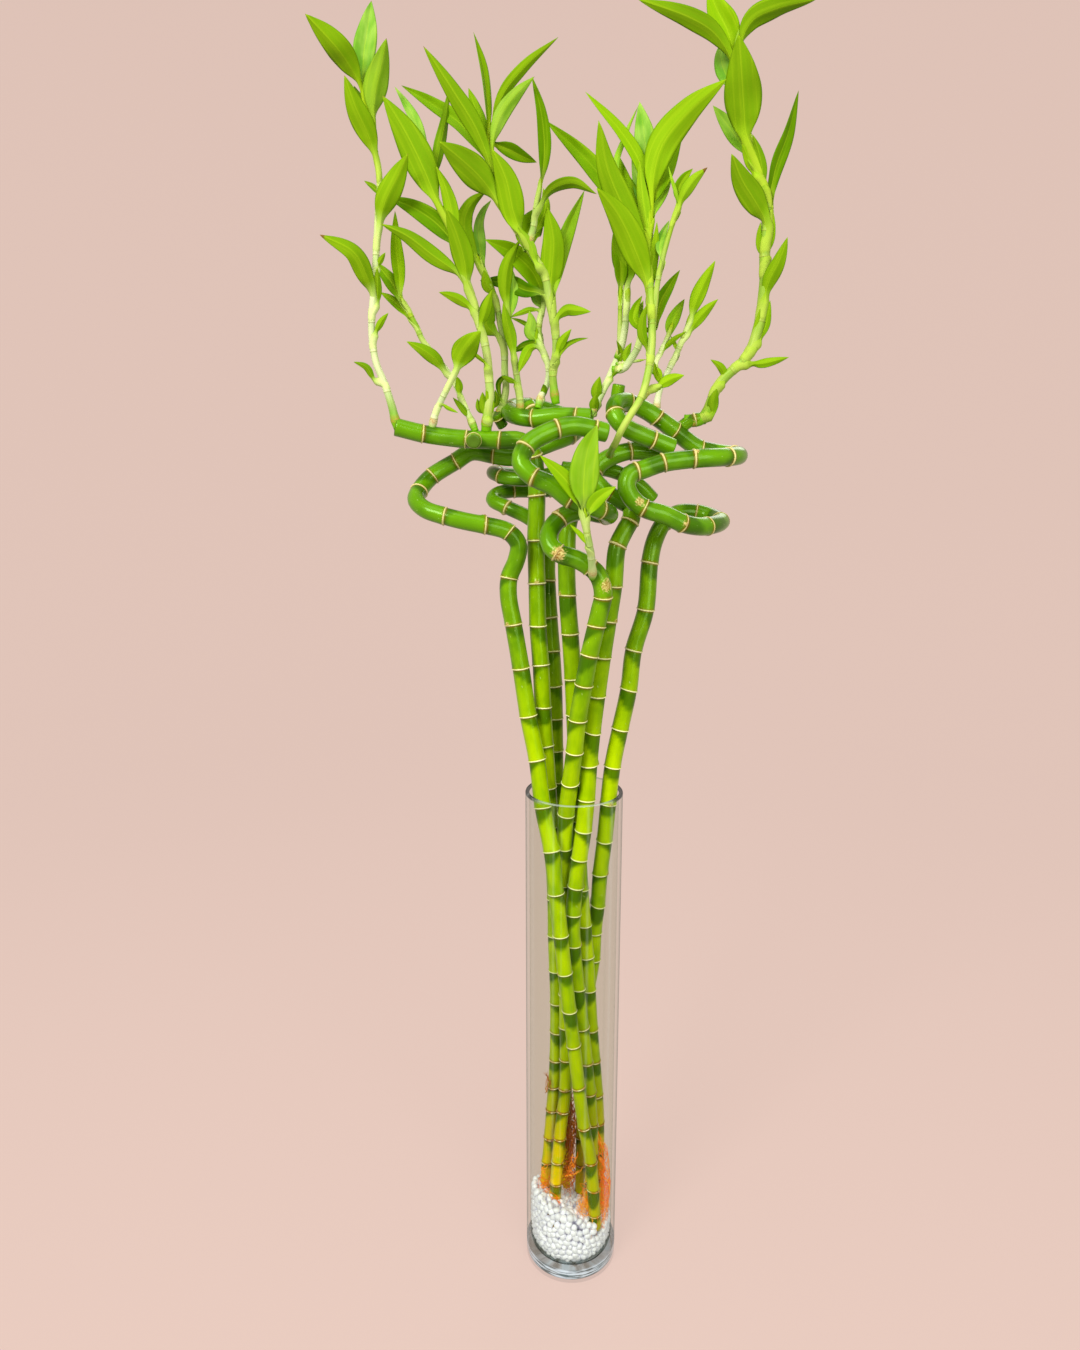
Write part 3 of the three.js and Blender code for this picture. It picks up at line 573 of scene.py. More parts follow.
for letter, shape in CANES.items():
    route = Route([seen(place) for place in shape["route"]])
    slimmer = shape.get("slimmer", 0)

    def stout(far):
        foot = FOOT_SPREAD * np.exp(-far / FOOT_FADE)
        return np.interp(far, GIRTH_AT, GIRTH) + foot - slimmer * ease(far, SLIMMER_FROM, SLIMMER_TO)

    rings, marks = jointed(
        route, stout, shape["joints"], "cane " + letter,
        sides=26, lip=0.5, swell=0.35, bud=1.5, start=shape.get("buried", USUALLY_BURIED),
    )
    begin, end = (shape["curl"] + step for step in CURL_BLEND)
    marks["curled"] = ease(marks["bark"][..., 2], begin, end)
    marks["yellow"] = np.full_like(marks["curled"], shape["yellow"])
    for place, size in shape.get("knots", []):
        spot = np.exp(-((np.linalg.norm(rings - seen(place), axis=-1) * 1000 / size) ** 2))
        marks["bud"] = np.maximum(marks["bud"], spot * KNOT_BARK)
        outward = unit(rings - rings.mean(axis=1, keepdims=True))
        rings = rings + outward * spot[..., None] * KNOT_RISE / 1000
    skins = [closed_end(rings, marks, HOLLOW_END if shape.get("hollow") else ROUNDED_END)]
    for places, girth in shape.get("stubs", []):
        stub = Route([seen(place) for place in places])
        rings, marks = jointed(
            stub, lambda far: girth - STUB_TAPER * far, [stub.length * STUB_JOINT], "stub " + letter,
            lip=0.6, swell=0.5, bud=0.8,
        )
        marks["curled"] = np.full_like(marks["tone"], STUB_CURLED)
        marks["yellow"] = np.zeros_like(marks["tone"])
        skins.append(closed_end(rings, marks, STUB_END))
    build("curled_cane_" + letter, skins, waxy_bark, "cane", "cane_" + letter)
    canes[letter] = route


# Shoots
# The soft new stems that grew from buds near the upper ends of the canes, once those were cut.
# Each leaf's foot clasps the stem as a sheath, and a faint ring is left where an old one fell.
# Leaves are narrow, pointed and a little folded along the midrib.

# Each shoot's middle line, its radii from foot to tip, how whitish its lower part is, and its
# branches (radius, then places). A leaf is its name, if it is a piece of its own, its greatest
# width, its turn about the midrib in degrees, how dark it is (below 0 it shows its pale underside),
# and the places of its midrib from foot to tip.
SHOOTS = {}
SHOOTS["far_left"] = {
    "route": [
        (-169, 908, 8), (-172, 918, 7), (-175, 931, 5), (-182, 953, 4), (-187, 965, 2), (-190, 980, 1),
        (-191, 997, -1), (-190, 1013, -3), (-187, 1037, -3), (-185, 1056, -4), (-182, 1091, -5),
        (-179, 1124, -5), (-182, 1149, -6), (-184, 1174, -6), (-189, 1184, -7), (-193, 1204, -8),
    ],
    "radii": [6, 5, 4.8, 4.6, 4.6, 4.2, 3.6, 2.8], "white": 0.8,
    "leaves": [
        ("far_left_1", 19.1, -10, 0.35,
         (-192, 1199, -8), (-203, 1218, -21), (-214, 1232, -33), (-239, 1257, -46)),
        ("far_left_2", 17.4, 0, -0.9, (-191, 1201, -8), (-189, 1227, -5), (-185, 1246, -3), (-181, 1267, 0)),
        ("far_left_3", 18.7, 14, -0.5,
         (-183, 1172, -7), (-180, 1196, -15), (-174, 1218, -22), (-169, 1238, -30)),
        ("far_left_4", 16.9, 0, 0.3,
         (-181, 1141, -6), (-188, 1162, -17), (-198, 1183, -29), (-207, 1209, -40)),
        ("far_left_5", 18.1, 0, 0.1,
         (-181, 1085, -5), (-175, 1106, -15), (-164, 1126, -24), (-153, 1146, -34)),
        ("far_left_6", 15.7, 20, 0.5,
         (-188, 1023, -2), (-194, 1044, -15), (-205, 1064, -27), (-235, 1079, -40)),
        (None, 4.5, 0, 0.5, (-180, 1111, -4), (-184, 1118, 0), (-193, 1124, 4)),
        (None, 4.5, 0, 0.2, (-184, 1051, -4), (-180, 1058, -8), (-176, 1064, -12)),
        (None, 5.5, 0, 0.3, (-188, 993, -2), (-182, 1004, -7), (-175, 1012, -12)),
        (None, 5.6, 0, 1, (-190, 953, 2), (-197, 964, -2), (-209, 969, -6)),
        (None, 8.2, 25, 0.3, (-186, 1018, -2), (-184, 1035, -5), (-184, 1051, -8)),
        (None, 7.1, 30, 1, (-184, 1173, -7), (-192, 1186, -4), (-199, 1201, 0)),
    ],
}
SHOOTS["left_front"] = {
    "route": [
        (-138, 907, 12), (-133, 924, 7), (-127, 936, 3), (-120, 949, -1), (-114, 960, -4), (-111, 969, -6),
    ],
    "radii": [5.2, 4.6, 4.4, 4.0], "white": 0.9,
    "leaves": [
        ("left_front_1", 19.9, 6, 0.15, (-114, 960, -5), (-108, 974, -12), (-101, 984, -19), (-90, 996, -26)),
        (None, 3.3, 0, 0.4, (-129, 931, 4), (-121, 927, 0), (-112, 923, -4)),
    ],
}
SHOOTS["left_back"] = {
    "route": [
        (-96, 906, 17), (-101, 918, 18), (-107, 931, 20), (-112, 944, 20), (-117, 954, 21), (-123, 962, 22),
        (-130, 971, 22), (-137, 979, 22), (-144, 988, 21), (-149, 999, 20), (-154, 1009, 18),
        (-159, 1019, 16), (-164, 1027, 14),
    ],
    "radii": [5, 4.4, 4.4, 4.4, 4.2, 3.6], "white": 0.65,
    "leaves": [
        (None, 11.3, 0, 0.6, (-161, 1020, 14), (-171, 1038, 19), (-178, 1047, 23), (-185, 1056, 28)),
        (None, 11.0, 10, 0.2, (-162, 1021, 14), (-164, 1045, 13), (-166, 1070, 11), (-166, 1099, 10)),
        (None, 11.2, 0, 0.4, (-122, 958, 21), (-131, 970, 15), (-143, 979, 8), (-159, 987, 2)),
        (None, 8.5, 20, 0.5, (-154, 1006, 17), (-162, 1015, 19), (-171, 1023, 22), (-182, 1030, 24)),
        (None, 5.7, 10, 0.9, (-100, 916, 17), (-108, 927, 14), (-117, 937, 10)),
        (None, 6.6, 10, 0.5, (-110, 938, 18), (-111, 949, 14), (-113, 956, 10)),
    ],
}
SHOOTS["middle_left"] = {
    "route": [
        (-86, 906, 17), (-84, 924, 13), (-82, 938, 10), (-83, 957, 8), (-84, 972, 5), (-87, 988, 3),
        (-91, 1001, 1), (-95, 1016, -1), (-98, 1027, -3), (-103, 1042, -4), (-111, 1068, -5),
        (-119, 1090, -6), (-128, 1108, -7), (-136, 1125, -8),
    ],
    "radii": [7, 6, 5.6, 5.4, 5.2, 4.8, 4.2, 3.6], "white": 0.35,
    "leaves": [
        ("middle_left_1", 17.4, 0, 0.25,
         (-101, 1032, -5), (-104, 1056, -15), (-111, 1080, -26), (-120, 1101, -36)),
        ("middle_left_2", 13.2, 0, 0.55,
         (-103, 1040, -6), (-135, 1063, -14), (-156, 1078, -22), (-179, 1088, -30)),
        ("middle_left_3", 15.4, 0, 0.5,
         (-108, 1063, -7), (-127, 1087, -4), (-148, 1101, -1), (-173, 1111, 2)),
        ("middle_left_4", 24.2, 0, 0.5,
         (-125, 1100, -8), (-139, 1133, -14), (-155, 1164, -20), (-174, 1193, -26)),
        (None, 9.9, 20, -0.8, (-134, 1121, -8), (-145, 1170, -1), (-154, 1187, 5), (-163, 1200, 12)),
        (None, 9.9, 25, 1, (-132, 1115, -8), (-126, 1145, -1), (-120, 1169, 7), (-115, 1199, 14)),
        (None, 11.5, 0, 0.05, (-111, 1071, -4), (-115, 1100, -8), (-120, 1118, -12), (-128, 1136, -16)),
        (None, 8.1, 0, 0.3, (-96, 1013, -2), (-107, 1022, -7), (-118, 1027, -13), (-128, 1030, -18)),
        (None, 3.2, 0, 0.2, (-84, 965, 2), (-95, 975, -5), (-106, 982, -12)),
        (None, 8.5, 10, 0.4, (-83, 916, 14), (-88, 931, 9), (-89, 942, 4)),
        (None, 5.7, 0, 0.9, (-85, 922, 14), (-92, 927, 12), (-94, 936, 10)),
        (None, 5.8, 0, 0.9, (-82, 926, 16), (-76, 933, 20), (-77, 944, 24)),
        (None, 7.6, 0, 0.1, (-84, 918, 12), (-82, 931, 8), (-86, 944, 4)),
        (None, 9.1, 10, 0.1, (-90, 997, 0), (-85, 1014, -7), (-79, 1032, -14)),
    ],
}
SHOOTS["middle_back"] = {
    "route": [
        (-75, 916, 60), (-70, 931, 53), (-67, 945, 47), (-68, 960, 43), (-68, 975, 40), (-69, 988, 38),
        (-72, 1004, 36), (-76, 1023, 33), (-81, 1036, 31), (-88, 1049, 29), (-94, 1064, 28),
    ],
    "radii": [6.4, 5.2, 5, 4.8, 4.6, 4.2], "white": 0.4,
    "leaves": [
        (None, 13.7, 0, 0.4, (-90, 1052, 29), (-104, 1086, 22), (-98, 1104, 15), (-83, 1116, 8)),
        (None, 11.4, 30, -0.8, (-86, 1046, 30), (-91, 1085, 35), (-87, 1098, 39), (-79, 1108, 44)),
        (None, 16.0, 0, 0.8, (-72, 990, 36), (-84, 1001, 31), (-84, 1016, 25), (-81, 1030, 20)),
        (None, 6.6, 40, -1, (-92, 1059, 28), (-99, 1081, 32), (-96, 1096, 36)),
        (None, 9.4, 0, 0.2, (-77, 1027, 30), (-84, 1037, 27), (-86, 1049, 24)),
        (None, 4.8, 0, 0.8, (-72, 936, 46), (-74, 949, 41), (-69, 955, 35), (-61, 953, 30)),
        (None, 5.9, 0, 1, (-70, 933, 50), (-80, 938, 43), (-85, 930, 36)),
    ],
}
SHOOTS["tall"] = {
    "route": [
        (-20, 931, 28), (-22, 945, 26), (-23, 960, 23), (-20, 979, 21), (-21, 997, 18), (-24, 1013, 16),
        (-27, 1026, 13), (-29, 1039, 11), (-34, 1051, 8), (-40, 1060, 6), (-46, 1069, 4), (-53, 1079, 1),
        (-61, 1090, -1), (-68, 1102, -4), (-74, 1116, -5), (-76, 1129, -6), (-79, 1141, -7),
        (-80, 1157, -7), (-80, 1172, -8),
    ],
    "radii": [5.6, 5.4, 5.4, 5.4, 5.4, 5, 4.6, 4, 2.8], "white": 0.25,
    "leaves": [
        (None, 9.6, 45, 0.4, (-80, 1162, -8), (-82, 1191, -6), (-85, 1215, -4), (-93, 1243, -2)),
        ("tall_1", 9.4, 20, 0.2, (-79, 1162, -7), (-68, 1193, -14), (-49, 1215, -21), (-19, 1239, -28)),
        ("tall_2", 11.8, 0, -0.9, (-79, 1148, -7), (-70, 1176, -17), (-56, 1194, -28), (-40, 1208, -38)),
        ("tall_3", 14.2, 8, 0.5, (-77, 1130, -6), (-91, 1165, -20), (-112, 1197, -34), (-137, 1232, -48)),
        (None, 10.7, 10, 0.2, (-80, 1151, -7), (-89, 1173, -2), (-93, 1185, 3), (-98, 1199, 8)),
        ("tall_4", 23.0, 0, 0.45, (-72, 1106, -5), (-88, 1126, -18), (-105, 1141, -31), (-125, 1156, -44)),
        ("tall_5", 20.9, 0, 0.3, (-50, 1075, -1), (-59, 1098, -9), (-66, 1126, -18), (-78, 1150, -26)),
        (None, 10.9, 0, 0.5, (-79, 1154, -7), (-64, 1150, -1), (-51, 1144, 6), (-38, 1139, 12)),
        (None, 12.8, 10, 0.4, (-76, 1131, -7), (-104, 1169, 7), (-130, 1186, 20), (-157, 1201, 34)),
        (None, 13.5, 0, 0.85, (-28, 1027, 14), (-49, 1032, 24), (-64, 1038, 34), (-90, 1040, 44)),
        (None, 19.8, 0, 0.15, (-26, 1023, 14), (-24, 1051, 6), (-23, 1075, -2), (-29, 1103, -10)),
        (None, 13.6, 20, -0.3, (-24, 1019, 14), (-18, 1058, 10), (-9, 1085, 6), (5, 1116, 2)),
        (None, 9.2, 0, 0.5, (-21, 1004, 14), (-11, 1014, 8), (-1, 1014, 2), (12, 1013, -4)),
        (None, 7.5, 0, 0.2, (-19, 976, 16), (-15, 986, 12), (-6, 998, 8)),
        (None, 4.2, 0, 0.6, (-19, 971, 16), (-11, 983, 15), (-1, 988, 13), (10, 990, 12)),
        (None, 7.9, 10, 0.1, (-74, 1115, -6), (-82, 1131, -10), (-89, 1143, -14)),
        (None, 7.2, 0, -0.4, (-37, 1052, 4), (-44, 1071, -2), (-55, 1086, -8)),
    ],
}
SHOOTS["tall_fork"] = {
    "route": [
        (-47, 1066, 3), (-41, 1085, -2), (-39, 1100, -7), (-37, 1108, -9), (-35, 1120, -11),
        (-34, 1129, -12),
    ],
    "radii": [4.6, 4.4, 4, 3.2], "white": 0.4,
    "leaves": [
        ("fork_1", 10.3, 10, 0.55, (-35, 1116, -12), (-31, 1149, -17), (-34, 1180, -23), (-42, 1208, -28)),
        ("fork_2", 10.3, 30, 0.6, (-36, 1101, -11), (-25, 1116, -21), (-6, 1122, -32), (16, 1113, -42)),
        (None, 21.1, 0, 0.35, (-47, 1066, 2), (-47, 1078, 5), (-42, 1088, 9), (-34, 1103, 12)),
        (None, 9.1, 0, 0.2, (-43, 1078, 0), (-34, 1090, 3), (-30, 1103, 5), (-32, 1118, 8)),
    ],
}
SHOOTS["pair"] = {
    "route": [
        (-37, 927, 33), (-34, 938, 36), (-29, 947, 38), (-27, 958, 38), (-28, 969, 37), (-34, 983, 36),
        (-36, 997, 34), (-34, 1011, 32), (-31, 1021, 30),
    ],
    "radii": [5, 4.6, 4.4, 4.4, 4.4, 3.8], "white": 0.85,
    "leaves": [
        ("pair_1", 18.4, 10, 0.4, (-31, 1018, 30), (-41, 1046, 23), (-61, 1064, 17), (-85, 1075, 10)),
        (None, 7.7, 0, 0.9, (-35, 986, 34), (-46, 984, 33), (-54, 981, 31), (-60, 977, 30)),
        (None, 8.6, 0, 0.4, (-34, 981, 34), (-44, 981, 30), (-50, 972, 26), (-55, 959, 22)),
        (None, 10.5, 0, -1, (-35, 985, 34), (-44, 995, 32), (-43, 1004, 30), (-45, 1014, 28)),
        (None, 4.7, 0, 0.5, (-34, 1013, 32), (-43, 1015, 30), (-53, 1012, 28), (-63, 1008, 26)),
        (None, 3.9, 0, -0.3, (-35, 993, 34), (-46, 1001, 37), (-54, 1005, 41), (-63, 1008, 44)),
        (None, 5.8, 0, 0.3, (-31, 974, 36), (-37, 986, 33), (-38, 999, 30)),
        (None, 8.6, 10, -0.6, (-33, 1014, 31), (-39, 1025, 34), (-44, 1034, 36)),
        (None, 5.8, 0, 0.5, (-33, 936, 36), (-31, 945, 32), (-32, 949, 28)),
    ],
}
SHOOTS["low_left"] = {
    "route": [
        (-53, 920, 39), (-54, 936, 37), (-56, 951, 35), (-58, 965, 33), (-60, 978, 31), (-63, 993, 29),
        (-65, 1008, 27), (-64, 1023, 26),
    ],
    "radii": [5.4, 5, 4.6, 4.4, 4], "white": 0.35,
    "leaves": [
        (None, 12.9, 20, 0.3, (-65, 1013, 26), (-67, 1034, 20), (-64, 1054, 14), (-53, 1075, 8)),
        (None, 10.4, 0, 0.45, (-59, 972, 28), (-62, 990, 24), (-66, 1006, 20), (-69, 1021, 16)),
        (None, 8.5, 0, -0.7, (-64, 1004, 26), (-60, 1023, 27), (-59, 1037, 29), (-61, 1051, 30)),
        (None, 4.8, 0, 0.7, (-57, 949, 34), (-64, 953, 29), (-71, 956, 24)),
    ],
}
SHOOTS["front"] = {
    "route": [
        (17, 767, -58), (16, 775, -66), (15, 787, -75), (13, 799, -82), (10, 814, -87), (8, 825, -90),
        (8, 835, -91),
    ],
    "radii": [5.4, 5, 4.8, 4.6, 4.2], "white": 0.6,
    "leaves": [
        ("front_1", 22.9, 0, -0.35, (8, 829, -91), (7, 859, -93), (10, 887, -94), (19, 912, -96)),
        ("front_2", 12.8, 10, 0.0, (6, 829, -90), (-2, 850, -92), (-14, 865, -94), (-35, 884, -96)),
        (None, 11.2, 0, -0.1, (10, 825, -90), (16, 838, -92), (25, 847, -94), (38, 855, -96)),
        (None, 4.4, 12, -0.1, (12, 798, -84), (5, 808, -86), (-6, 819, -88)),
    ],
}
SHOOTS["right_middle"] = {
    "route": [
        (31, 882, 13), (33, 889, -6), (37, 896, -19), (42, 907, -27), (51, 922, -29), (60, 937, -28),
        (65, 954, -25), (68, 972, -22), (69, 988, -19), (68, 1010, -17), (66, 1036, -15), (64, 1058, -12),
        (65, 1083, -12), (64, 1104, -12), (63, 1125, -12),
    ],
    "radii": [4.8, 4.8, 5, 5.2, 5.4, 5, 4.2, 3], "white": 0.2,
    "branches": [
        (
            3.0, (69, 997, -14), (71, 1019, -16), (73, 1039, -18), (77, 1059, -20), (82, 1078, -22),
            (87, 1095, -24), (90, 1106, -26),
        ),
        (4.2, (60, 936, -22), (68, 944, -19), (77, 948, -16)),
    ],
    "leaves": [
        ("right_middle_1", 18.7, 0, -1, (64, 1111, -12), (61, 1137, -7), (58, 1161, -3), (53, 1188, 2)),
        ("right_middle_2", 23.0, 0, 0.1, (65, 1104, -12), (72, 1149, -20), (96, 1180, -28), (129, 1206, -36)),
        ("right_middle_3", 20.3, 0, 0.3, (64, 1056, -12), (39, 1104, -24), (24, 1137, -36), (17, 1173, -48)),
        ("right_middle_4", 18.2, 0, 0.1, (65, 1056, -12), (50, 1086, -5), (41, 1120, 3), (35, 1145, 10)),
        ("right_middle_5", 22.1, 0, 0.15, (66, 1030, -13), (53, 1063, -27), (36, 1095, -42), (16, 1118, -56)),
        ("right_middle_6", 9.4, 10, -0.2,
         (90, 1101, -26), (94, 1111, -31), (103, 1124, -35), (115, 1135, -40)),
        (None, 15.4, 10, 0.3, (60, 1081, -12), (30, 1116, -3), (5, 1143, 5), (-30, 1173, 14)),
        (None, 16.2, 0, 0.5, (65, 1100, -12), (73, 1126, -7), (82, 1144, -1), (91, 1159, 4)),
        (None, 18.4, 0, 0.6, (64, 1066, -12), (48, 1103, -1), (35, 1128, 11), (22, 1149, 22)),
        (None, 10.1, 0, 0.5, (71, 999, -13), (76, 1021, -8), (83, 1034, -3), (93, 1049, 2)),
        (None, 10.6, 20, -0.05, (64, 1098, -12), (55, 1137, -9), (38, 1163, -7), (5, 1196, -4)),
        (None, 8.0, 0, 0.5, (67, 978, -15), (60, 993, -20), (60, 1006, -25), (64, 1020, -30)),
        (None, 9.1, 0, -1, (63, 1093, -12), (56, 1111, -5), (52, 1126, 3), (47, 1143, 10)),
        (None, 5.4, 0, -0.8, (60, 1086, -10), (33, 1131, -5), (41, 1161, 1), (52, 1185, 6)),
        (None, 3.1, 0, -0.4, (90, 1098, -26), (88, 1112, -24), (83, 1126, -22), (80, 1136, -20)),
        (None, 8.1, 0, -0.5, (66, 1090, -12), (70, 1104, -9), (77, 1115, -7), (83, 1126, -4)),
        (None, 7.2, 0, -1, (77, 1056, -22), (74, 1068, -18), (76, 1078, -14), (82, 1091, -10)),
        (None, 8.3, 0, 0.2, (65, 997, -14), (52, 1006, -9), (53, 1016, -5), (59, 1027, 0)),
        (None, 8.0, 0, 0.3, (90, 1103, -26), (89, 1115, -22), (94, 1126, -18), (102, 1134, -14)),
        (None, 4.6, 0, 0.2, (78, 947, -16), (73, 960, -12), (72, 969, -8)),
        (None, 9.1, 0, -0.1, (73, 945, -17), (81, 950, -19), (89, 954, -20), (100, 957, -22)),
        (None, 8.9, 0, 0.4, (66, 1023, -12), (67, 1049, -15), (70, 1070, -17), (71, 1090, -20)),
        (None, 10.5, 0, -0.2, (65, 1066, -12), (60, 1096, -15), (56, 1120, -17), (54, 1141, -20)),
    ],
}
SHOOTS["right_inner"] = {
    "route": [
        (12, 918, 24), (20, 934, 24), (27, 949, 22), (33, 963, 21), (39, 979, 19), (39, 993, 17),
        (39, 1008, 16), (39, 1023, 14), (39, 1037, 12),
    ],
    "radii": [5, 4.8, 4.6, 4.2, 3.6, 3.4], "white": 0.75,
    "branches": [
        (4.0, (37, 972, 19), (41, 984, 16), (44, 1001, 14), (45, 1019, 12), (46, 1037, 10)),
        (4.2, (33, 962, 20), (43, 963, 16), (51, 973, 12), (57, 984, 9), (60, 997, 6), (59, 1013, 4)),
        (1.8, (36, 967, 18), (51, 969, 13), (64, 971, 8)),
    ],
    "leaves": [
        ("right_inner_1", 20.8, 0, 0.75, (45, 1032, 12), (43, 1056, 7), (38, 1075, 1), (34, 1090, -4)),
        (None, 11.0, 0, 0.3, (39, 1030, 12), (39, 1051, 9), (37, 1064, 7), (36, 1075, 4)),
        (None, 4.7, 0, 0.6, (39, 965, 19), (40, 978, 14), (36, 988, 8)),
        (None, 9.5, 0, 0.4, (20, 931, 24), (18, 942, 18), (21, 956, 12)),
        (None, 8.6, 0, 0.1, (16, 922, 24), (16, 931, 17), (18, 940, 10)),
        (None, 6.6, 0, -0.2, (43, 965, 16), (46, 978, 11), (50, 986, 6)),
        (None, 6.4, 0, -0.6, (59, 995, 6), (57, 1011, 2), (60, 1023, -2)),
        (None, 3.8, 0, 1, (31, 954, 20), (36, 960, 16), (42, 962, 12)),
    ],
}
SHOOTS["right_small"] = {
    "route": [
        (74, 920, 28), (75, 931, 27), (77, 942, 26), (81, 953, 24), (87, 965, 23), (93, 978, 22),
        (98, 990, 20), (102, 1002, 20), (104, 1013, 19),
    ],
    "radii": [5.2, 4.6, 4.4, 4.4, 4, 3.4], "white": 1.0,
    "branches": [
        (2.7, (72, 958, 22), (73, 969, 24), (78, 979, 26), (84, 993, 27), (88, 1004, 28)),
    ],
    "leaves": [
        (None, 12.0, 10, 0.05, (104, 1004, 19), (108, 1020, 15), (115, 1037, 12), (125, 1057, 8)),
        (None, 9.3, 0, 0.2, (102, 993, 20), (110, 1005, 16), (119, 1015, 12), (129, 1024, 8)),
        (None, 10.5, 0, -0.3, (83, 988, 28), (86, 1001, 30), (91, 1012, 32), (98, 1024, 34)),
        (None, 4.7, 0, 0.3, (77, 976, 26), (84, 984, 23), (91, 990, 19), (101, 996, 16)),
        (None, 3.4, 0, -0.2, (93, 976, 21), (90, 985, 24), (86, 992, 28)),
        (None, 4.7, 0, 0.2, (73, 965, 23), (77, 958, 18), (78, 951, 14)),
    ],
}
SHOOTS["right"] = {
    "route": [
        (101, 916, 36), (109, 916, 35), (117, 917, 33), (123, 925, 31), (126, 933, 29), (130, 944, 27),
        (137, 954, 25), (147, 963, 22), (156, 971, 20), (162, 982, 18), (166, 995, 17), (169, 1010, 16),
        (170, 1023, 15), (171, 1040, 13), (170, 1059, 12), (170, 1076, 11), (171, 1093, 10), (170, 1105, 9),
        (166, 1118, 8), (159, 1134, 7), (154, 1148, 5), (150, 1159, 4), (147, 1173, 3), (142, 1193, 2),
        (139, 1213, 1), (136, 1229, 0),
    ],
    "radii": [7.8, 7, 6.6, 6.8, 6.8, 6.8, 6.6, 6.2, 5.8, 5.2, 4], "white": 0.15,
    "leaves": [
        ("right_1", 12.6, 0, 0.45, (171, 1021, 14), (175, 1039, 5), (183, 1056, -5), (190, 1077, -14)),
        ("right_2", 19.2, 0, 0.6, (172, 1085, 10), (161, 1104, -1), (146, 1125, -13), (136, 1146, -24)),
        (None, 12.7, 30, 0.5, (171, 1098, 9), (176, 1134, 12), (186, 1164, 15), (193, 1197, 18)),
        ("right_3", 28.7, 0, 0.35, (150, 1152, 3), (145, 1185, -9), (142, 1210, -22), (138, 1241, -34)),
        ("right_4", 12.8, 0, -0.6, (155, 1141, 4), (143, 1156, 12), (131, 1170, 20), (118, 1185, 28)),
        ("right_5", 14.2, 0, 0.45, (137, 1216, 0), (118, 1241, -12), (95, 1254, -24), (50, 1268, -36)),
        ("right_6", 20.2, 0, 0.1, (137, 1220, 0), (128, 1245, 3), (119, 1260, 7), (110, 1278, 10)),
        ("right_7", 16.0, 20, 0.45, (138, 1227, 0), (149, 1251, -8), (170, 1261, -16), (204, 1268, -24)),
        (None, 13.4, 0, -1, (139, 1196, 2), (129, 1209, 8), (124, 1221, 14), (124, 1236, 20)),
        (None, 4.3, 0, -1, (137, 1218, 0), (137, 1232, -4), (138, 1245, -8)),
        (None, 7.5, 0, 0.3, (161, 967, 20), (170, 967, 15), (181, 969, 11), (197, 973, 6)),
        (None, 6.6, 0, 0.3, (135, 949, 24), (137, 958, 21), (133, 965, 17), (124, 971, 14)),
        (None, 8.0, 0, 0.9, (167, 1116, 7), (164, 1134, 3), (160, 1148, 0), (154, 1162, -4)),
        (None, 5.5, 0, 0.5, (171, 1056, 12), (165, 1069, 10), (164, 1080, 8), (165, 1090, 6)),
        (None, 5.9, 0, 0.4, (171, 1059, 12), (175, 1075, 10), (176, 1086, 8), (176, 1098, 6)),
        (None, 6.5, 0, 0.4, (167, 986, 17), (174, 1001, 15), (176, 1013, 12), (177, 1023, 10)),
        (None, 4.7, 0, 0.3, (164, 981, 17), (164, 993, 15), (166, 1004, 12), (168, 1016, 10)),
        (None, 9.6, 0, 0.8, (127, 922, 26), (128, 933, 22), (131, 945, 18)),
        (None, 8.0, 0, 0.0, (159, 1128, 6), (151, 1143, 2), (145, 1154, -2)),
    ],
}


# A young stem is soft and yellow green, whitish low down, with a brown husk where it left the cane,
# and a painted shade under each ring.
young = Finish("soft young stem")
rolled = young.where("bark")
off, shaded, tone, risen = (young.mark(name) for name in ("off", "shaded", "tone", "risen"))
streak = young.grain(rolled, (0.5, 0.5, 0.03), 3.0)
speck = young.grain(rolled, (0.4, 0.4, 0.25), 1.0)
ragged = young.grain(rolled, (0.9, 0.9, 0.9), 3.0)
white = young.mark("white") * (1 - risen.rises(0.35, 0.95)) * risen.rises(0.02, 0.14)
collar = young.mark("collar")
stem_colour = young.layered(
    young.blend(tone * 0.6 + (streak - 0.5), (166, 190, 20), (116, 154, 0)),
    fresh_foot=(1 - risen.rises(0.04, 0.1), (112, 172, 10)),
    whitish=(white, (214, 222, 176)),
    streaks=(streak.rises(0.5, 0.8) * (0.6 - white * 0.5), (112, 166, 6)),
    # painted shade under each ring
    dark_under_ring=(shaded * (0.4 - white * 0.3), (96, 156, 4)),
    brown_specks=(speck.rises(0.7, 0.78) * 0.25, (150, 120, 50)),
    ring=((1 - off.rises(0.25, 0.7)) * 0.4, (160, 160, 70)),
    husky_collar=(collar * ragged.rises(0.35, 0.55) * 0.85, (184, 132, 70)),
)
young_stem = young.coat(
    base_color=stem_colour,
    roughness=streak * 0.15 + 0.3,
    normal=young.bump(streak * 0.3 + collar * ragged, 0.5, 0.5),
    specular_ior_level=0.2,
    specular_tint=paint(220, 255, 190),
)
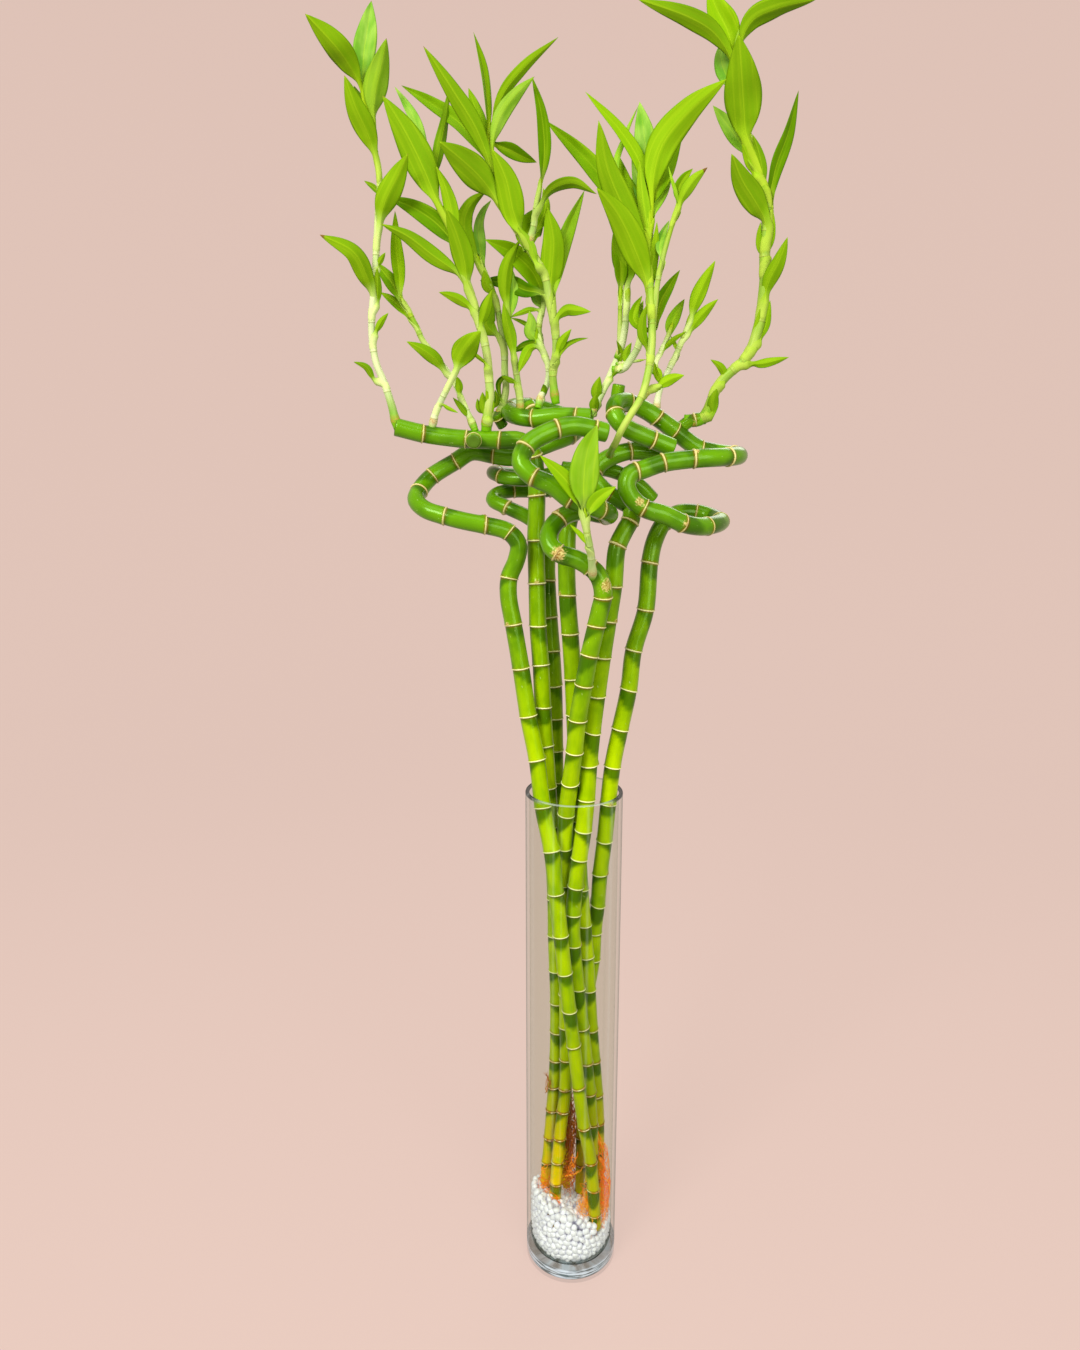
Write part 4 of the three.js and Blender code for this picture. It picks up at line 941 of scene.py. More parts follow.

# Each leaf is as dark as the number given with it, with fine veins and bands along it and a
# lighter midrib and sheath.
green = Finish("green leaf")
blade = green.where("blade")
across, _, upper = green.parts_of(blade)
edge, tipward, shade = (green.mark(name) for name in ("edge", "tipward", "shade"))
veins = green.grain(blade, (1.2, 0.01, 1), 2.0, 0.6)
bands = green.grain(blade, (0.3, 0.006, 0.1), 1.0)
broad = green.grain(blade, (0.1, 0.04, 1))
rib = 1 - abs(across).rises(0.1, 0.5)
sheath = 1 - tipward.rises(-0.15, 0.25)
dried = (tipward + (broad - 0.5) * 0.08 + green.mark("dry") - 1).rises(0, 0.03)
seen_from_below = green.blend(broad.rises(0.3, 0.7), (146, 184, 74), (100, 156, 42))
leaf_colour = green.layered(
    green.blend(shade + (broad - 0.5) * 0.5, (122, 162, 6), (46, 90, 0)),
    turned_over=((0 - shade).rises(0, 1), seen_from_below),
    underside=((1 - upper.rises(-0.2, 0.2)) * 0.4, (140, 180, 24)),
    dark_bands=(bands.rises(0.52, 0.66) * 0.14, (84, 150, 0)),
    light_bands=((0.48 - bands).rises(0, 0.14) * 0.14, (196, 220, 40)),
    veins=(veins.rises(0.5, 0.8) * 0.2, (84, 146, 0)),
    midrib=(rib * (0.26 - tipward * 0.2), (190, 222, 40)),
    sheath=(sheath * 0.7, (168, 194, 28)),
    whitish_sheath=(sheath * green.mark("pale") * 0.9, (226, 238, 172)),
    dark_edge=(edge.rises(0.86, 1.0) * tipward.rises(0.1, 0.25) * 0.5, (70, 112, 0)),
    dry_tip=(dried, (120, 92, 40)),
)
green_leaf = green.coat(
    base_color=leaf_colour,
    roughness=veins * 0.15 + 0.4 + dried * 0.3,
    normal=green.bump(veins * 0.5 + bands * 0.4 - rib * upper * 0.5, 0.3, 0.5),
    specular_ior_level=0.1,
    specular_tint=paint(190, 255, 90),
)

# How a leaf is made: millimetres for its sheath, thickness and rib, degrees for its fold, and
# shares of its length where its sheath opens out into the blade.
SHEATH_A_WIDTH, SHEATH_LEAST, SHEATH_MOST = 1.3, 15, 30
LOWEST_FOOT, SHEATH_ABOVE_STEM_FOOT = 6, 3
CLASP_AT, CLASP_HALF_ANGLE = [-0.3, 0, 0.2], [178, 120, 60]
CLASP_GAP, CLASP_RISE, CLASP_RISEN = -0.3, 0.64, 0.005
LOOSENS, TURNS_OUT, FLATTENS = (-0.2, 0), (-0.05, 0.3), (-0.02, 0.22)
FOLD, FOLD_SPREAD = 20, 8
RIPPLE, RIPPLES_A_LEAF, RIPPLES_DIFFER = 0.06, 1.4, 1.3
RIB_THICK, EDGE_THINNER, RIDGE = 0.26, 0.16, 0.25
TURNS_WITH_LENGTH, HALF_WIDTH = 0.3, 0.56
SHEATH_RINGS, BLADE_RINGS, POINTS_ACROSS = 5, 30, 11


def profile(share):
    """The half-width of a blade along it, as a share of its widest."""
    share = np.clip(share, 0, 1)
    swelling = np.sin(math.pi * share**0.88) ** (2.7 - 0.9 * ease(share, 0.3, 0.8))
    return np.sqrt(swelling + (0.24 * (1 - share) ** 3) ** 2) + 0.012


def leaf(stem, girth, places, width, turn, shade, seed, dry, pale):
    """A leaf's skin and marks, and where its sheath begins along the stem. The sheath is clasped
    round the stem and opens into a folded blade, turned to show its face to the front."""
    chance = random.Random(seed)
    knots = [seen(place) for place in places]
    foot = max(stem.nearest(knots[0]), LOWEST_FOOT / 1000)
    longest = min(max(SHEATH_A_WIDTH * width, SHEATH_LEAST), SHEATH_MOST) / 1000
    sheath = min(longest, foot - SHEATH_ABOVE_STEM_FOOT / 1000)
    route = Route([*stem.place(np.array([foot - sheath, foot - sheath / 2])), *knots])
    in_sheath = np.linspace(0, sheath, SHEATH_RINGS)[:-1]
    far = np.concatenate([in_sheath, np.linspace(sheath, route.length, BLADE_RINGS)])
    share = (far - sheath) / (route.length - sheath)
    heading = route.ways(far)[0]
    place = route.place(far)

    def upright(vector):
        return unit(vector - heading * (vector * heading).sum(-1, keepdims=True))

    rising = stem.ways(np.array([foot]))[0][0]
    outward = knots[1] - knots[0]
    outward = unit(outward - rising * outward.dot(rising))
    clasped = upright(np.repeat(-outward[None], len(far), axis=0))
    shown = upright(EYE - place)
    twist = (chance.random() - 0.5) * TURNS_WITH_LENGTH
    angle = math.radians(turn) + twist * share[:, None]
    shown = shown * np.cos(angle) + np.cross(heading, shown) * np.sin(angle)
    mouth = SHEATH_RINGS - 1
    if clasped[mouth].dot(shown[mouth]) < 0:
        shown = -shown
    opened = ease(share, *TURNS_OUT)[:, None]
    normal = unit(clasped * (1 - opened) + shown * opened)
    side = np.cross(heading, normal)

    over = np.linspace(-1, 1, POINTS_ACROSS)[None]
    share = share[:, None]
    half = HALF_WIDTH * width * profile(share)
    wrapped = np.radians(np.interp(share, CLASP_AT, CLASP_HALF_ANGLE))
    rise = CLASP_RISE * ease(far, 0, CLASP_RISEN)[:, None] + 0.2 * ease(share, *LOOSENS)
    bend = girth(foot * 1000) + CLASP_GAP + rise
    flat = ease(share, *FLATTENS)
    fold = math.tan(math.radians(FOLD + FOLD_SPREAD * (chance.random() - 0.5)))
    lift = (np.sqrt(over**2 + 0.01) - 0.1) * fold * (1 - 0.25 * over**2)
    wave = FULL_TURN * (RIPPLES_A_LEAF * share + chance.random()) + RIPPLES_DIFFER * np.sign(over)
    ripple = RIPPLE * width * over**2 * np.sin(wave) * np.clip(4 * share * (1 - share), 0, 1)
    x = (1 - flat) * bend * np.sin(wrapped * over) + flat * half * over
    y = (1 - flat) * -bend * np.cos(wrapped * over) + flat * (half * lift + ripple)
    slope_x, slope_y = np.gradient(x, axis=1), np.gradient(y, axis=1)
    slope = np.hypot(slope_x, slope_y) + 1e-9
    thick = (RIB_THICK - EDGE_THINNER * over**2) * (0.3 + 0.7 * np.clip(profile(share), 0, 1))
    ridge = RIDGE * (np.abs(over) < 0.05) * (1 - share.clip(0, 1))

    def face(sign, extra):
        out_x = x - sign * slope_y / slope * (thick + extra)
        out_y = y + sign * slope_x / slope * (thick + extra)
        sideways = side[:, None] * out_x[..., None] + normal[:, None] * out_y[..., None]
        return place[:, None] + sideways / 1000

    rings = np.concatenate([face(1, 0), face(-1, ridge)[:, ::-1]], axis=1)
    both = np.concatenate([over, over[:, ::-1]], axis=1) + 0 * share
    upper = np.concatenate([np.ones_like(x), -np.ones_like(x)], axis=1)
    varied = shade + 0.3 * (chance.random() - 0.5) * (shade > -0.2)
    paler = 1 - ease(foot / stem.length, 0.35, 0.95) * min(1, stem.length / 0.25)
    marks = {
        "blade": np.stack([both * half, far[:, None] * 1000 + 0 * both, upper], -1),
        "edge": np.abs(both),
        "tipward": share + 0 * both,
        "shade": np.full_like(both, varied),
        "dry": np.full_like(both, dry),
        "pale": np.full_like(both, pale * paler),
    }
    return rings, marks, foot - sheath


# A stem's skin in millimetres: how much thinner it is than its sheaths, how a branch thins, where
# the swelling and the brown collar near its foot are (middle, width), and where it draws in.
UNDER_SHEATH, SHEATH_THICK = 0.86, 0.9
BRANCH_UNDER_SHEATH, BRANCH_THINS = 0.9, 0.2
FLARE, FLARE_AT, COLLAR_AT, BRANCH_COLLAR, BRANCH_COLLAR_AT = 0.8, (9, 4), (10, 2.5), 0.6, (6, 2.5)
TIP_DRAWS_IN, TIP_LEFT = 6, 0.2


def stem_girth(radii, length):
    """A stem's radius at any distance along it, from radii that are evenly spaced."""
    evenly = np.linspace(0, 1, len(radii))
    return lambda far: UNDER_SHEATH * np.interp(far / length, evenly, radii) - SHEATH_THICK


def branch_girth(radius, length):
    foot = BRANCH_UNDER_SHEATH * radius
    return lambda far: foot * (1 - BRANCH_THINS * np.clip(far / length, 0, 1))


def bulge(far, middle, width):
    """1 at the middle of a bulge on a stem, and 0 well away from it."""
    return np.exp(-(((far - middle) / width) ** 2))


def flared(girth, length, flare):
    """A stem's radius with a swelling near its foot, and drawn in at its tip."""
    def radius(far):
        swollen = girth(far) + flare * bulge(far, *FLARE_AT)
        return swollen * np.clip((length - far) / TIP_DRAWS_IN, TIP_LEFT, 1)

    return radius


# How much of its length is dry at some leaves' tips, and how much at the others'.
DRY_TIPS = {
    "far_left_6": 0.06, "tall_3": 0.03, "right_middle_6": 0.12, "middle_left_4": 0.03, "right_6": 0.03,
}
USUAL_DRY_TIP = 0.015
FIRST_RING, RING_EVERY, RINGS_APART, BEFORE_LEAF = 30, 52.0, 4, 12
for name, shape in SHOOTS.items():
    route = Route([seen(place) for place in shape["route"]])
    lines = [(route, stem_girth(shape["radii"], route.length * 1000))]
    for radius, *places in shape.get("branches", []):
        branch = Route([seen(place) for place in places])
        lines.append((branch, branch_girth(radius, branch.length * 1000)))

    small, scars = [], [[] for _ in lines]
    for count, (own, width, turn, shade, *places) in enumerate(shape["leaves"]):
        start = seen(places[0])
        holder = min(range(len(lines)), key=lambda k: lines[k][0].gap(start))
        label, dry = own or f"{name} small {count}", DRY_TIPS.get(own, USUAL_DRY_TIP)
        rings, marks, foot = leaf(*lines[holder], places, width, turn, shade, label, dry, shape["white"])
        scars[holder].append(foot * 1000)
        if own:
            build("leaf_blade_" + own, [(rings, marks)], green_leaf, "leaf", "leaf_" + own)
        else:
            small.append((rings, marks))
    if small:
        build("small_leaves_" + name, small, green_leaf, "leaf", "shoot_" + name)

    skins = []
    for (line, girth), fallen in zip(lines, scars):
        first = line is route
        length = line.length * 1000
        lowest = min([*fallen, length]) - BEFORE_LEAF
        joints = sorted([*np.arange(FIRST_RING, lowest, RING_EVERY), *fallen])
        joints = [here for here, after in zip(joints, [*joints[1:], 1e9]) if after - here > RINGS_APART]
        radius = flared(girth, length, FLARE * first)
        rings, marks = jointed(line, radius, joints, name, sides=16, lip=0.12, swell=0.12, spacing=3.0)
        along = marks["bark"][..., 2]
        branch_collar = BRANCH_COLLAR * bulge(along, *BRANCH_COLLAR_AT)
        marks["collar"] = bulge(along, *COLLAR_AT) if first else branch_collar
        marks["white"] = np.full_like(along, shape["white"])
        skins.append((rings, marks))
    build("young_stem_" + name, skins, young_stem, "shoot", "shoot_" + name)


# Roots
# Fine orange roots, no thicker than string, hang from the feet of the canes and spread between the
# top pebbles; an older tuft among them has turned reddish brown. Each fibre wanders and tapers.
rooty = Finish("root")
rolled = rooty.where("bark")
fibre = rooty.grain(rolled, (0.8, 0.8, 0.08), 3.0)
root_colour_and_glow = rooty.layered(
    rooty.blend((fibre - 0.5) * 0.8 + rooty.mark("tone"), (255, 112, 0), (255, 190, 60)),
    turned_brown=(rooty.mark("ripe"), rooty.blend(fibre, (84, 28, 0), (158, 70, 12))),
)
string_root = rooty.coat(
    base_color=root_colour_and_glow,
    roughness=0.5 + fibre * 0.2,
    normal=rooty.bump(fibre, 0.3, 0.5),
    specular_ior_level=0.15,
    # Painted glow: the roots give off a little light of their own, in their own colour.
    emission_color=root_colour_and_glow,
    emission_strength=0.12,
)

ROOM_IN_GLASS = 0.0445
THICKNESS_VARIES, THICK_FOOT, THINS_BY = (0.7, 1.2), 1.05, 0.8


def reach_of(places):
    return np.hypot(places[:, 0], places[:, 1])


def kept_in(places, limit):
    """Draws in towards the middle, where they lie, the places that are further out than limit."""
    places[:, :2] *= np.minimum(1, limit / np.maximum(reach_of(places), 1e-6))[:, None]


def rootlet(places, thick, chance, spread, ripe):
    """A thin root along places, wandering by up to spread millimetres."""
    strays = [[chance.uniform(-spread, spread) / 1000 for _ in range(3)] for _ in places]
    places = np.array(places) + strays
    kept_in(places, ROOM_IN_GLASS)
    route = Route(places)
    length = route.length * 1000
    girth = chance.uniform(*THICKNESS_VARIES) * thick
    seed = str(chance.random())

    def taper(far):
        return girth * (THICK_FOOT - THINS_BY * far / length)

    rings, marks = jointed(route, taper, [], seed, sides=6, spacing=2.5)
    marks["tone"] = np.full_like(marks["tone"], chance.random())
    marks["ripe"] = np.full_like(marks["tone"], ripe)
    return rings, marks


# Each strand of a tuft: how many fibres, their radius and wandering in millimetres, how far they
# have turned brown, and the places along the strand's middle.
ROOTS = {
    "roots_orange": [
        (
            30, 0.34, 6.4, 0.0,
            (23, 154, -6), (31, 139, -6), (36, 113, -8), (40, 80, -12), (40, 47, -18), (38, 24, -24),
        ),
        (20, 0.34, 7.6, 0.0, (34, 96, -10), (37, 76, -14), (38, 52, -20), (35, 26, -26)),
        (4, 0.6, 1.6, 0.0, (23, 155, -6), (29, 141, -7), (35, 127, -8), (39, 112, -9)),
        (2, 1.8, 1.2, 0.0, (32, 117, -8), (37, 106, -10), (37, 93, -12), (40, 79, -14)),
        (20, 0.32, 8.0, 0.1, (19, 80, -18), (17, 62, -22), (13, 45, -28), (12, 36, -30)),
        (18, 0.32, 7.6, 0.2, (-28, 92, 2), (-29, 79, -2), (-34, 70, -6), (-42, 62, -10)),
        (14, 0.32, 6.6, 0.1, (-18, 70, -12), (-19, 60, -16), (-21, 50, -20)),
        (4, 0.36, 4.0, 0.0, (-30, 108, 4), (-31, 92, 0), (-30, 76, -4)),
    ],
    "roots_brown": [
        (46, 0.42, 6.0, 1.0, (1, 212, 4), (1, 177, 4), (0, 145, 3), (-2, 113, 2), (-1, 80, 2)),
        (18, 0.45, 8.0, 0.8, (0, 120, 0), (-2, 98, -4), (-4, 80, -8), (-2, 66, -12)),
        (9, 0.5, 4.0, 0.1, (5, 126, -2), (2, 110, -4), (-1, 95, -6), (-3, 80, -8)),
        (3, 0.5, 1.4, 0.1, (-7, 93, -8), (2, 93, -10), (10, 100, -12), (17, 106, -12)),
        (5, 0.36, 1.8, 0.8, (-23, 207, 4), (-26, 217, 3), (-31, 224, 2)),
        (4, 0.36, 1.6, 0.7, (-28, 198, 6), (-27, 212, 4), (-27, 226, 2)),
    ],
}
FEW, BEGINS_AT, FEW_BEGIN_AT, ENDS_AT = 6, 0.6, 0.05, (0.65, 1.0)
PLACES_A_ROOT = 8
for node, tuft in ROOTS.items():
    chance = random.Random(node)
    strands = []
    for count, thick, spread, ripe, *places in tuft:
        line = Route([seen(place) for place in places])
        for _ in range(count):
            begin = chance.uniform(0, BEGINS_AT if count > FEW else FEW_BEGIN_AT) * line.length
            end = chance.uniform(*ENDS_AT) * line.length
            wander = line.place(np.linspace(begin, end, PLACES_A_ROOT))
            strands.append(rootlet(wander, thick, chance, spread, ripe * chance.uniform(0.7, 1.0)))
    build("string_" + node, strands, string_root, "root", node)

# The short roots of each cane's own foot: how many, and how far up the cane they grow.
FOOT_ROOTS = {
    "a": (16, 60), "b": (14, 52), "c": (8, 50), "d": (14, 66), "e": (14, 50), "f": (10, 50), "g": (8, 50),
}
FOOT_ROOT_THICK, FOOT_ROOT_WANDER = 0.34, 2.2
STARTS_AT, SKIN_INSIDE, SKIN_OUTSIDE = (0.55, 1.0), 0.004, 0.0085
REACHES, DROPS, RIPENS = (0.010, 0.018), (0.006, 0.022), (0, 0.35)
chance = random.Random("feet")
strands = []
for letter, (count, rise) in FOOT_ROOTS.items():
    for _ in range(count):
        start = canes[letter].place(np.array([chance.uniform(*STARTS_AT) * rise / 1000]))[0]
        angle = chance.uniform(0, math.tau)
        out = np.array([math.cos(angle), math.sin(angle), 0])
        reach = chance.uniform(*REACHES)
        drop = chance.uniform(*DROPS) * np.array([0, 0, 1])
        bent = start + out * SKIN_OUTSIDE - drop * 0.3
        places = [start + out * SKIN_INSIDE, bent, start + out * reach - drop]
        ripe = chance.uniform(*RIPENS)
        strands.append(rootlet(places, FOOT_ROOT_THICK, chance, FOOT_ROOT_WANDER, ripe))
build("string_roots_feet", strands, string_root, "root")

# Pebbles
# White polished pebbles, six to eleven millimetres long, fill the foot of the vase and hold the
# canes upright. They are only tipped in, so they lie as they fell, heaped against the glass at the
# left, and follow the glass at the outside.

# Sizes in metres, slopes of the heap, and how much of its half size keeps a pebble off its
# neighbours, the canes, the glass and the floor.
PEBBLE_FLOOR, PEBBLE_TOP, HEAP_RISE = 0.0145, 0.064, 0.024
HEAP_BACK, HEAP_SIDE = -0.30, -0.48
LAYER_APART, CIRCLE_APART, PEBBLE_APART = 0.0057, 0.0069, 0.0071
OUTERMOST = 0.0432
FIRST_LAYER, UNDER_THE_TOP, JITTER = 0.0035, 0.001, 0.0005
HALF_SIZES, LONGER, FLATTER, DENT = (0.0032, 0.0043), (1.0, 1.25), (0.72, 0.92), 0.07
ROUNDS_OF_PUSHING, PUSH, TOUCHING = 40, 0.4, 0.93
BESIDE_CANE, BESIDE_GLASS, UPRIGHT, LOW_SIDE = 0.85, 0.95, 0.8, 0.4
PEBBLE_TO_GLASS, SKIN_TO_GLASS = 0.0006, 0.0004
CANE_FOOT_RADIUS, CANE_FOOT_TOP, CANE_FOOT_START = 0.0069, 0.09, 0.026
SEEN_FROM_OUTSIDE, SEEN_FROM_ABOVE, SEEN_FROM_BELOW = 0.0085, 0.010, 0.004
BOWL = [(36, 14), (39.4, 15), (41.8, 17.6), (43.6, 21.5), (45, 26.5), (45.7, 32), (46, 40)]


def glass_at(heights):
    """How far the inside of the glass is from the vase's middle line, at these heights."""
    reach, rise = np.array(BOWL).T / 1000
    return np.interp(heights, rise, reach)


def heap_at(places):
    """The height of the heap there, as it lies up against the glass at the left."""
    return PEBBLE_TOP + HEAP_BACK * places[:, 1] + HEAP_SIDE * places[:, 0]


def tipped_in(chance):
    """Pebbles in loose circles, layer by layer, up to the heap's surface."""
    places = []
    for height in np.arange(PEBBLE_FLOOR + FIRST_LAYER, PEBBLE_TOP + HEAP_RISE, LAYER_APART):
        for reach in np.arange(0, OUTERMOST, CIRCLE_APART):
            for step in range(max(1, int(math.tau * reach / PEBBLE_APART))):
                angle = (step + chance.random()) * PEBBLE_APART / max(reach, 0.001) + chance.random()
                places.append((reach * math.cos(angle), reach * math.sin(angle), height))
    places = np.array(places) + chance.normal(0, JITTER, (len(places), 3))
    return places[places[:, 2] < heap_at(places) - UNDER_THE_TOP]


def settle(places, sizes):
    """Pushes pebbles apart, off the canes and inside the glass until they only just touch."""
    others = 1 - np.eye(len(places))
    rows = np.arange(len(places))
    tall = sizes * UPRIGHT
    for _ in range(ROUNDS_OF_PUSHING):
        gap = places[:, None] - places[None]
        away = np.linalg.norm(gap, axis=-1) + np.eye(len(places))
        short = np.clip(TOUCHING * (sizes[:, None] + sizes[None]) - away, 0, None) * others
        places += PUSH * (gap / away[..., None] * short[..., None]).sum(axis=1)
        for cane in canes.values():
            line = cane.line[(cane.line[:, 2] < CANE_FOOT_TOP) & (cane.far > CANE_FOOT_START)]
            off = places[:, None] - line[None]
            near = np.linalg.norm(off, axis=-1)
            pick = near.argmin(axis=1)
            near, off = near[rows, pick], off[rows, pick]
            push = np.clip(CANE_FOOT_RADIUS + sizes * BESIDE_CANE - near, 0, None) / near
            places += off * push[:, None]
        glass_there = glass_at(places[:, 2] - sizes * LOW_SIDE)
        kept_in(places, glass_there - PEBBLE_TO_GLASS - sizes * BESIDE_GLASS)
        places[:, 2] = np.clip(places[:, 2], PEBBLE_FLOOR + tall, heap_at(places) - tall)


stony = Finish("white pebble")
spot = stony.where("stone")
cloud = stony.grain(spot, (0.25, 0.25, 0.25), 3.0)
grit = stony.grain(spot, (3, 3, 3))
glowing_white_pebble = stony.coat(
    base_color=stony.layered(
        stony.blend(stony.mark("tone"), (246, 246, 252), (226, 226, 234)),
        clouds=((cloud - 0.45) * 0.9, (196, 200, 204)),
        grey_specks=(grit.rises(0.66, 0.74) * 0.35, (176, 180, 190)),
    ),
    roughness=cloud * 0.25 + 0.12,
    normal=stony.bump(grit, 0.3, 0.3),
    # Painted glow: the pebbles give off a faint bluish light of their own, so they stay white.
    emission_color=paint(226, 222, 255),
    emission_strength=0.09,
)

shell = bmesh.new()
bmesh.ops.create_icosphere(shell, subdivisions=3, radius=1)
ball = np.array([corner.co[:] for corner in shell.verts])
ball_faces = np.array([[corner.index for corner in face.verts] for face in shell.faces])
shell.free()

chance = np.random.default_rng(7)
places = tipped_in(chance)
sizes = chance.uniform(*HALF_SIZES, len(places))
settle(places, sizes)
shows = (
    (reach_of(places) > glass_at(places[:, 2]) - SEEN_FROM_OUTSIDE)
    | (heap_at(places) - places[:, 2] < SEEN_FROM_ABOVE)
    | (places[:, 2] < PEBBLE_FLOOR + SEEN_FROM_BELOW)
)
corners, faces, where, tones = [], [], [], []
for count, (place, size) in enumerate(zip(places[shows], sizes[shows])):
    turns, _ = np.linalg.qr(chance.normal(size=(3, 3)))
    dented = 1 + DENT * np.sin(ball @ chance.normal(0, 1.6, 3) + chance.random() * 6)
    shape = ball * dented[:, None] * size
    shape = shape * np.array([chance.uniform(*LONGER), 1.0, chance.uniform(*FLATTER)])
    spots = place + shape @ turns.T
    spots[:, 2] = np.maximum(spots[:, 2], PEBBLE_FLOOR)
    kept_in(spots, glass_at(spots[:, 2]) - SKIN_TO_GLASS)
    corners.append(spots)
    faces.append(ball_faces + count * len(ball))
    where.append(shape * 1000 + chance.uniform(0, 500, 3))
    tones.append(np.full((len(ball), 1), chance.random() ** 2))
marks = {"stone": np.vstack(where), "tone": np.vstack(tones)}
add("pebbles", np.vstack(corners), np.vstack(faces).tolist(), marks, glowing_white_pebble, "pebble", "pebble_bed")

# Vase
# A plain straight cylinder of clear glass with a thick, heavy foot and a fire-polished rim. It
# holds no water, only the pebbles and the canes, and nothing is fixed to it.
class SheerFinish(Finish):
    """A finish mixed from surfaces that let light through, scatter it or mirror it."""

    def sheer(self, *colour):
        return self.node("BsdfTransparent", {}, {"Color": paint(*colour)})

    def matt(self, *colour):
        return self.node("BsdfDiffuse", {}, {"Color": paint(*colour)})

    def shared(self, share, first, second):
        return self.node("MixShader", {}, {0: share, 1: first, 2: second})


# Clear glass is darker where more of it is seen through: at the sides, in the rim and in the foot.
# The foot's light and dark streaks and bluish patches, the rim's light front, dark lines round the
# floor and white streaks on the wall are painted reflections and highlights; height is in
# millimetres, and inner is 1 on the inside.
glass = SheerFinish("clear glass")
around, height, inner = glass.where("around"), glass.mark("height"), glass.mark("inner")
facing = glass.node("LayerWeight", {}, {"Blend": 0.5}, "Facing")
edgeways = glass.node("LayerWeight", {}, {"Blend": 0.5, "Normal": around}, "Facing")
x, y, _ = glass.parts_of(around)
painted_streaks = glass.grain(glass.node("CombineXYZ", {}, {"X": x * 2.4, "Y": y * 2.4, "Z": height * 0.5}))
# Painted highlights: faint white upright streaks on the outside of the wall.
painted_highlight_streaks = glass.grain(around, (5, 5, 0)).rises(0.52, 0.72)

# Painted highlight: the front of the rim is a light line, part of it matt.
rim_painted_highlight = glass.shared(0.34, glass.sheer(222, 232, 222), glass.matt(206, 216, 206))
rim = glass.shared(edgeways.rises(0.25, 0.6), rim_painted_highlight, glass.sheer(112, 124, 126))
at_rim = (height.rises(546.5, 548) * edgeways.rises(0.2, 0.5)).or_else(height.rises(548.7, 549.3))
# Painted reflection: the foot is streaked light and dark, with bluish white patches on its outside.
foot = glass.shared(painted_streaks.rises(0.4, 0.6), glass.sheer(232, 238, 238), glass.sheer(166, 178, 176))
painted_foot_reflection = (0.62 - painted_streaks).rises(0, 0.24) * 0.8 * (1 - inner)
foot = glass.shared(painted_foot_reflection, foot, glass.matt(226, 240, 254))
in_foot = 1 - height.rises(14, 16.5)
thick_wall = glass.shared(painted_streaks.rises(0.4, 0.7) * 0.7, glass.sheer(160, 172, 164), glass.matt(170, 184, 178))
thickens = (1 - height.rises(18, 40)) * edgeways.rises(0.2, 0.8) * inner
# Painted dark lines round the inside of the foot, at the floor's edge and a little above, standing for light
# bent by the thick glass there.
lower_line = height.rises(14.1, 14.5) * (1 - height.rises(15, 15.6))
upper_line = height.rises(17, 17.6) * (1 - height.rises(18.6, 20)) * 0.7
long_way = facing.rises(0.7, 1.0) * (1 - inner * 0.8)
wall = glass.sheer(246, 248, 245)
for share, layer in (
    (long_way, glass.sheer(206, 210, 204)),
    (at_rim, rim),
    (in_foot, foot),
    (thickens * 0.8, thick_wall),
    ((lower_line + upper_line) * inner * 0.85, glass.sheer(84, 92, 92)),
    (painted_highlight_streaks * 0.1 * (1 - inner), glass.matt(236, 240, 242)),
):
    wall = glass.shared(share, wall, layer)
shine = glass.node("BsdfGlossy", {}, {"Color": paint(225, 235, 240), "Roughness": 0.04})
gloss = (0.004 + facing**5 * 0.5) * (1 - inner * 0.7) * (1 + in_foot * 2)
clear_glass = glass.ended(glass.shared(gloss, wall, shine))


def revolved(outline, sides):
    """Rings of points of an outline, (reach, height), turned about the middle, and its spokes."""
    turn = np.linspace(0, math.tau, sides, endpoint=False)
    spokes = np.stack([np.cos(turn), np.sin(turn), 0 * turn], -1)
    reach, height = np.array(outline).T[..., None, None]
    return reach * spokes + height * np.array([0, 0, 1]), spokes


# The outline in millimetres, up the outside to the rim and down the inside to the floor.
OUTSIDE = [
    (30, 0), (44, 0), (46.4, 0.5), (48, 1.8), (49.4, 3.8), (50, 6), (50, 40), (50, 300), (50, 548.2),
    (49.7, 549.2), (49, 549.8), (48, 550), (47, 549.8),
]
INSIDE = [
    (46.3, 549.2), (46, 548.2), (46, 300), (46, 32), (45.8, 27), (45.2, 22), (44.2, 18), (42.6, 15.4),
    (40, 14), (20, 14),
]
VASE_SIDES = 160
rings, spokes = revolved(np.array(OUTSIDE + INSIDE) / 1000, VASE_SIDES)
on_inside = np.arange(len(rings)) >= len(OUTSIDE)
marks = {
    "height": rings[..., 2] * 1000,
    "around": np.repeat(spokes[None], len(rings), axis=0),
    "inner": np.repeat(on_inside[:, None], VASE_SIDES, axis=1) * 1.0,
}
build("clear_vase", [(rings, marks)], clear_glass, "glass", "vase")

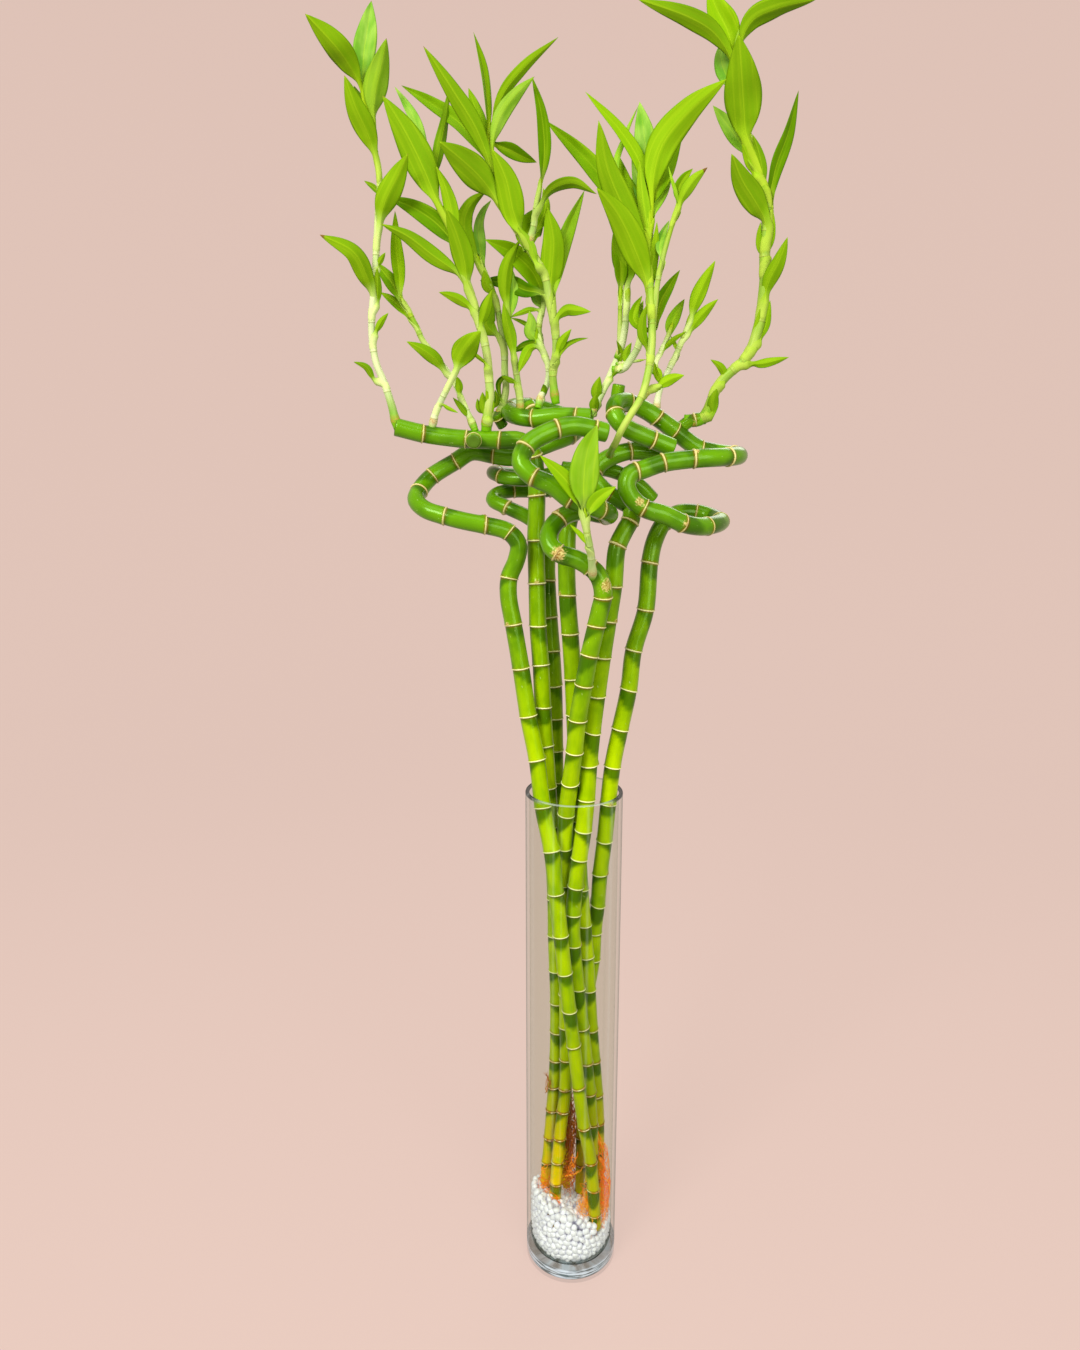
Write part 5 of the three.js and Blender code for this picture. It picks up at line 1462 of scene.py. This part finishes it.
# The room
# A plain pale floor that curves up into a round wall far behind, so it looks alike from every side.
# It gives off some light of its own, and wide soft lights stand in front, behind and above.
BACKDROP = [
    (0.05, 0), (0.5, 0), (1.0, 0), (1.6, 0), (2.1, 0.03), (2.5, 0.14), (2.8, 0.34), (3.0, 0.62),
    (3.1, 0.95), (3.15, 1.4), (3.15, 2.6), (3.15, 4.2),
]
BELOW_THE_VASE = 0.0006
BACKDROP_SIDES = 96
PALE = (228, 200, 189)
pale = SheerFinish("pale backdrop")
lit = pale.node("Emission", {}, {"Color": paint(*PALE), "Strength": 1.0})
backdrop_finish = pale.ended(pale.shared(0.84, pale.matt(*PALE), lit))
backdrop_finish.cycles.emission_sampling = "NONE"
rings, _ = revolved(BACKDROP, BACKDROP_SIDES)
rings[..., 2] -= BELOW_THE_VASE
faces = wrap(len(rings), BACKDROP_SIDES).tolist() + [list(range(BACKDROP_SIDES))]
mesh = bpy.data.meshes.new("backdrop")
mesh.from_pydata(rings.reshape(-1, 3).tolist(), [], faces)
mesh.materials.append(backdrop_finish)
mesh.polygons.foreach_set("use_smooth", [True] * len(faces))
backdrop = bpy.data.objects.new("backdrop", mesh)
backdrop.visible_diffuse = False
bpy.context.scene.collection.objects.link(backdrop)

# Each light's place, the point that it faces, its width in metres, its watts and its colour.
LIGHTS = {
    "key": ((-1.3, -1.8, 2.1), (0, 0, 0.7), 1.0, 64, (1, 0.98, 0.94)),
    "fill": ((0.9, -2.0, 1.3), (0, 0, 0.25), 1.4, 36, (1, 0.97, 0.92)),
    "back": ((0.9, 1.9, 2.2), (0, 0, 0.8), 1.2, 12, (1, 1, 1)),
    "top": ((-0.2, -0.6, 2.9), (0, 0, 0.8), 1.6, 15, (1, 0.99, 0.95)),
}
for name, (place, target, width, watts, colour) in LIGHTS.items():
    light = bpy.data.lights.new(name, "AREA")
    light.size, light.energy, light.color = width, watts, colour
    lamp = bpy.data.objects.new(name, light)
    lamp.location = place
    towards = mathutils.Vector(target) - mathutils.Vector(place)
    lamp.rotation_euler = towards.to_track_quat("-Z", "Y").to_euler()
    bpy.context.scene.collection.objects.link(lamp)

world = bpy.data.worlds.new("soft light all round")
world.use_nodes = True
air = world.node_tree.nodes["Background"].inputs
air["Color"].default_value = paint(250, 240, 226)
air["Strength"].default_value = 0.38
bpy.context.scene.world = world
bpy.context.scene.view_settings.view_transform = "Standard"
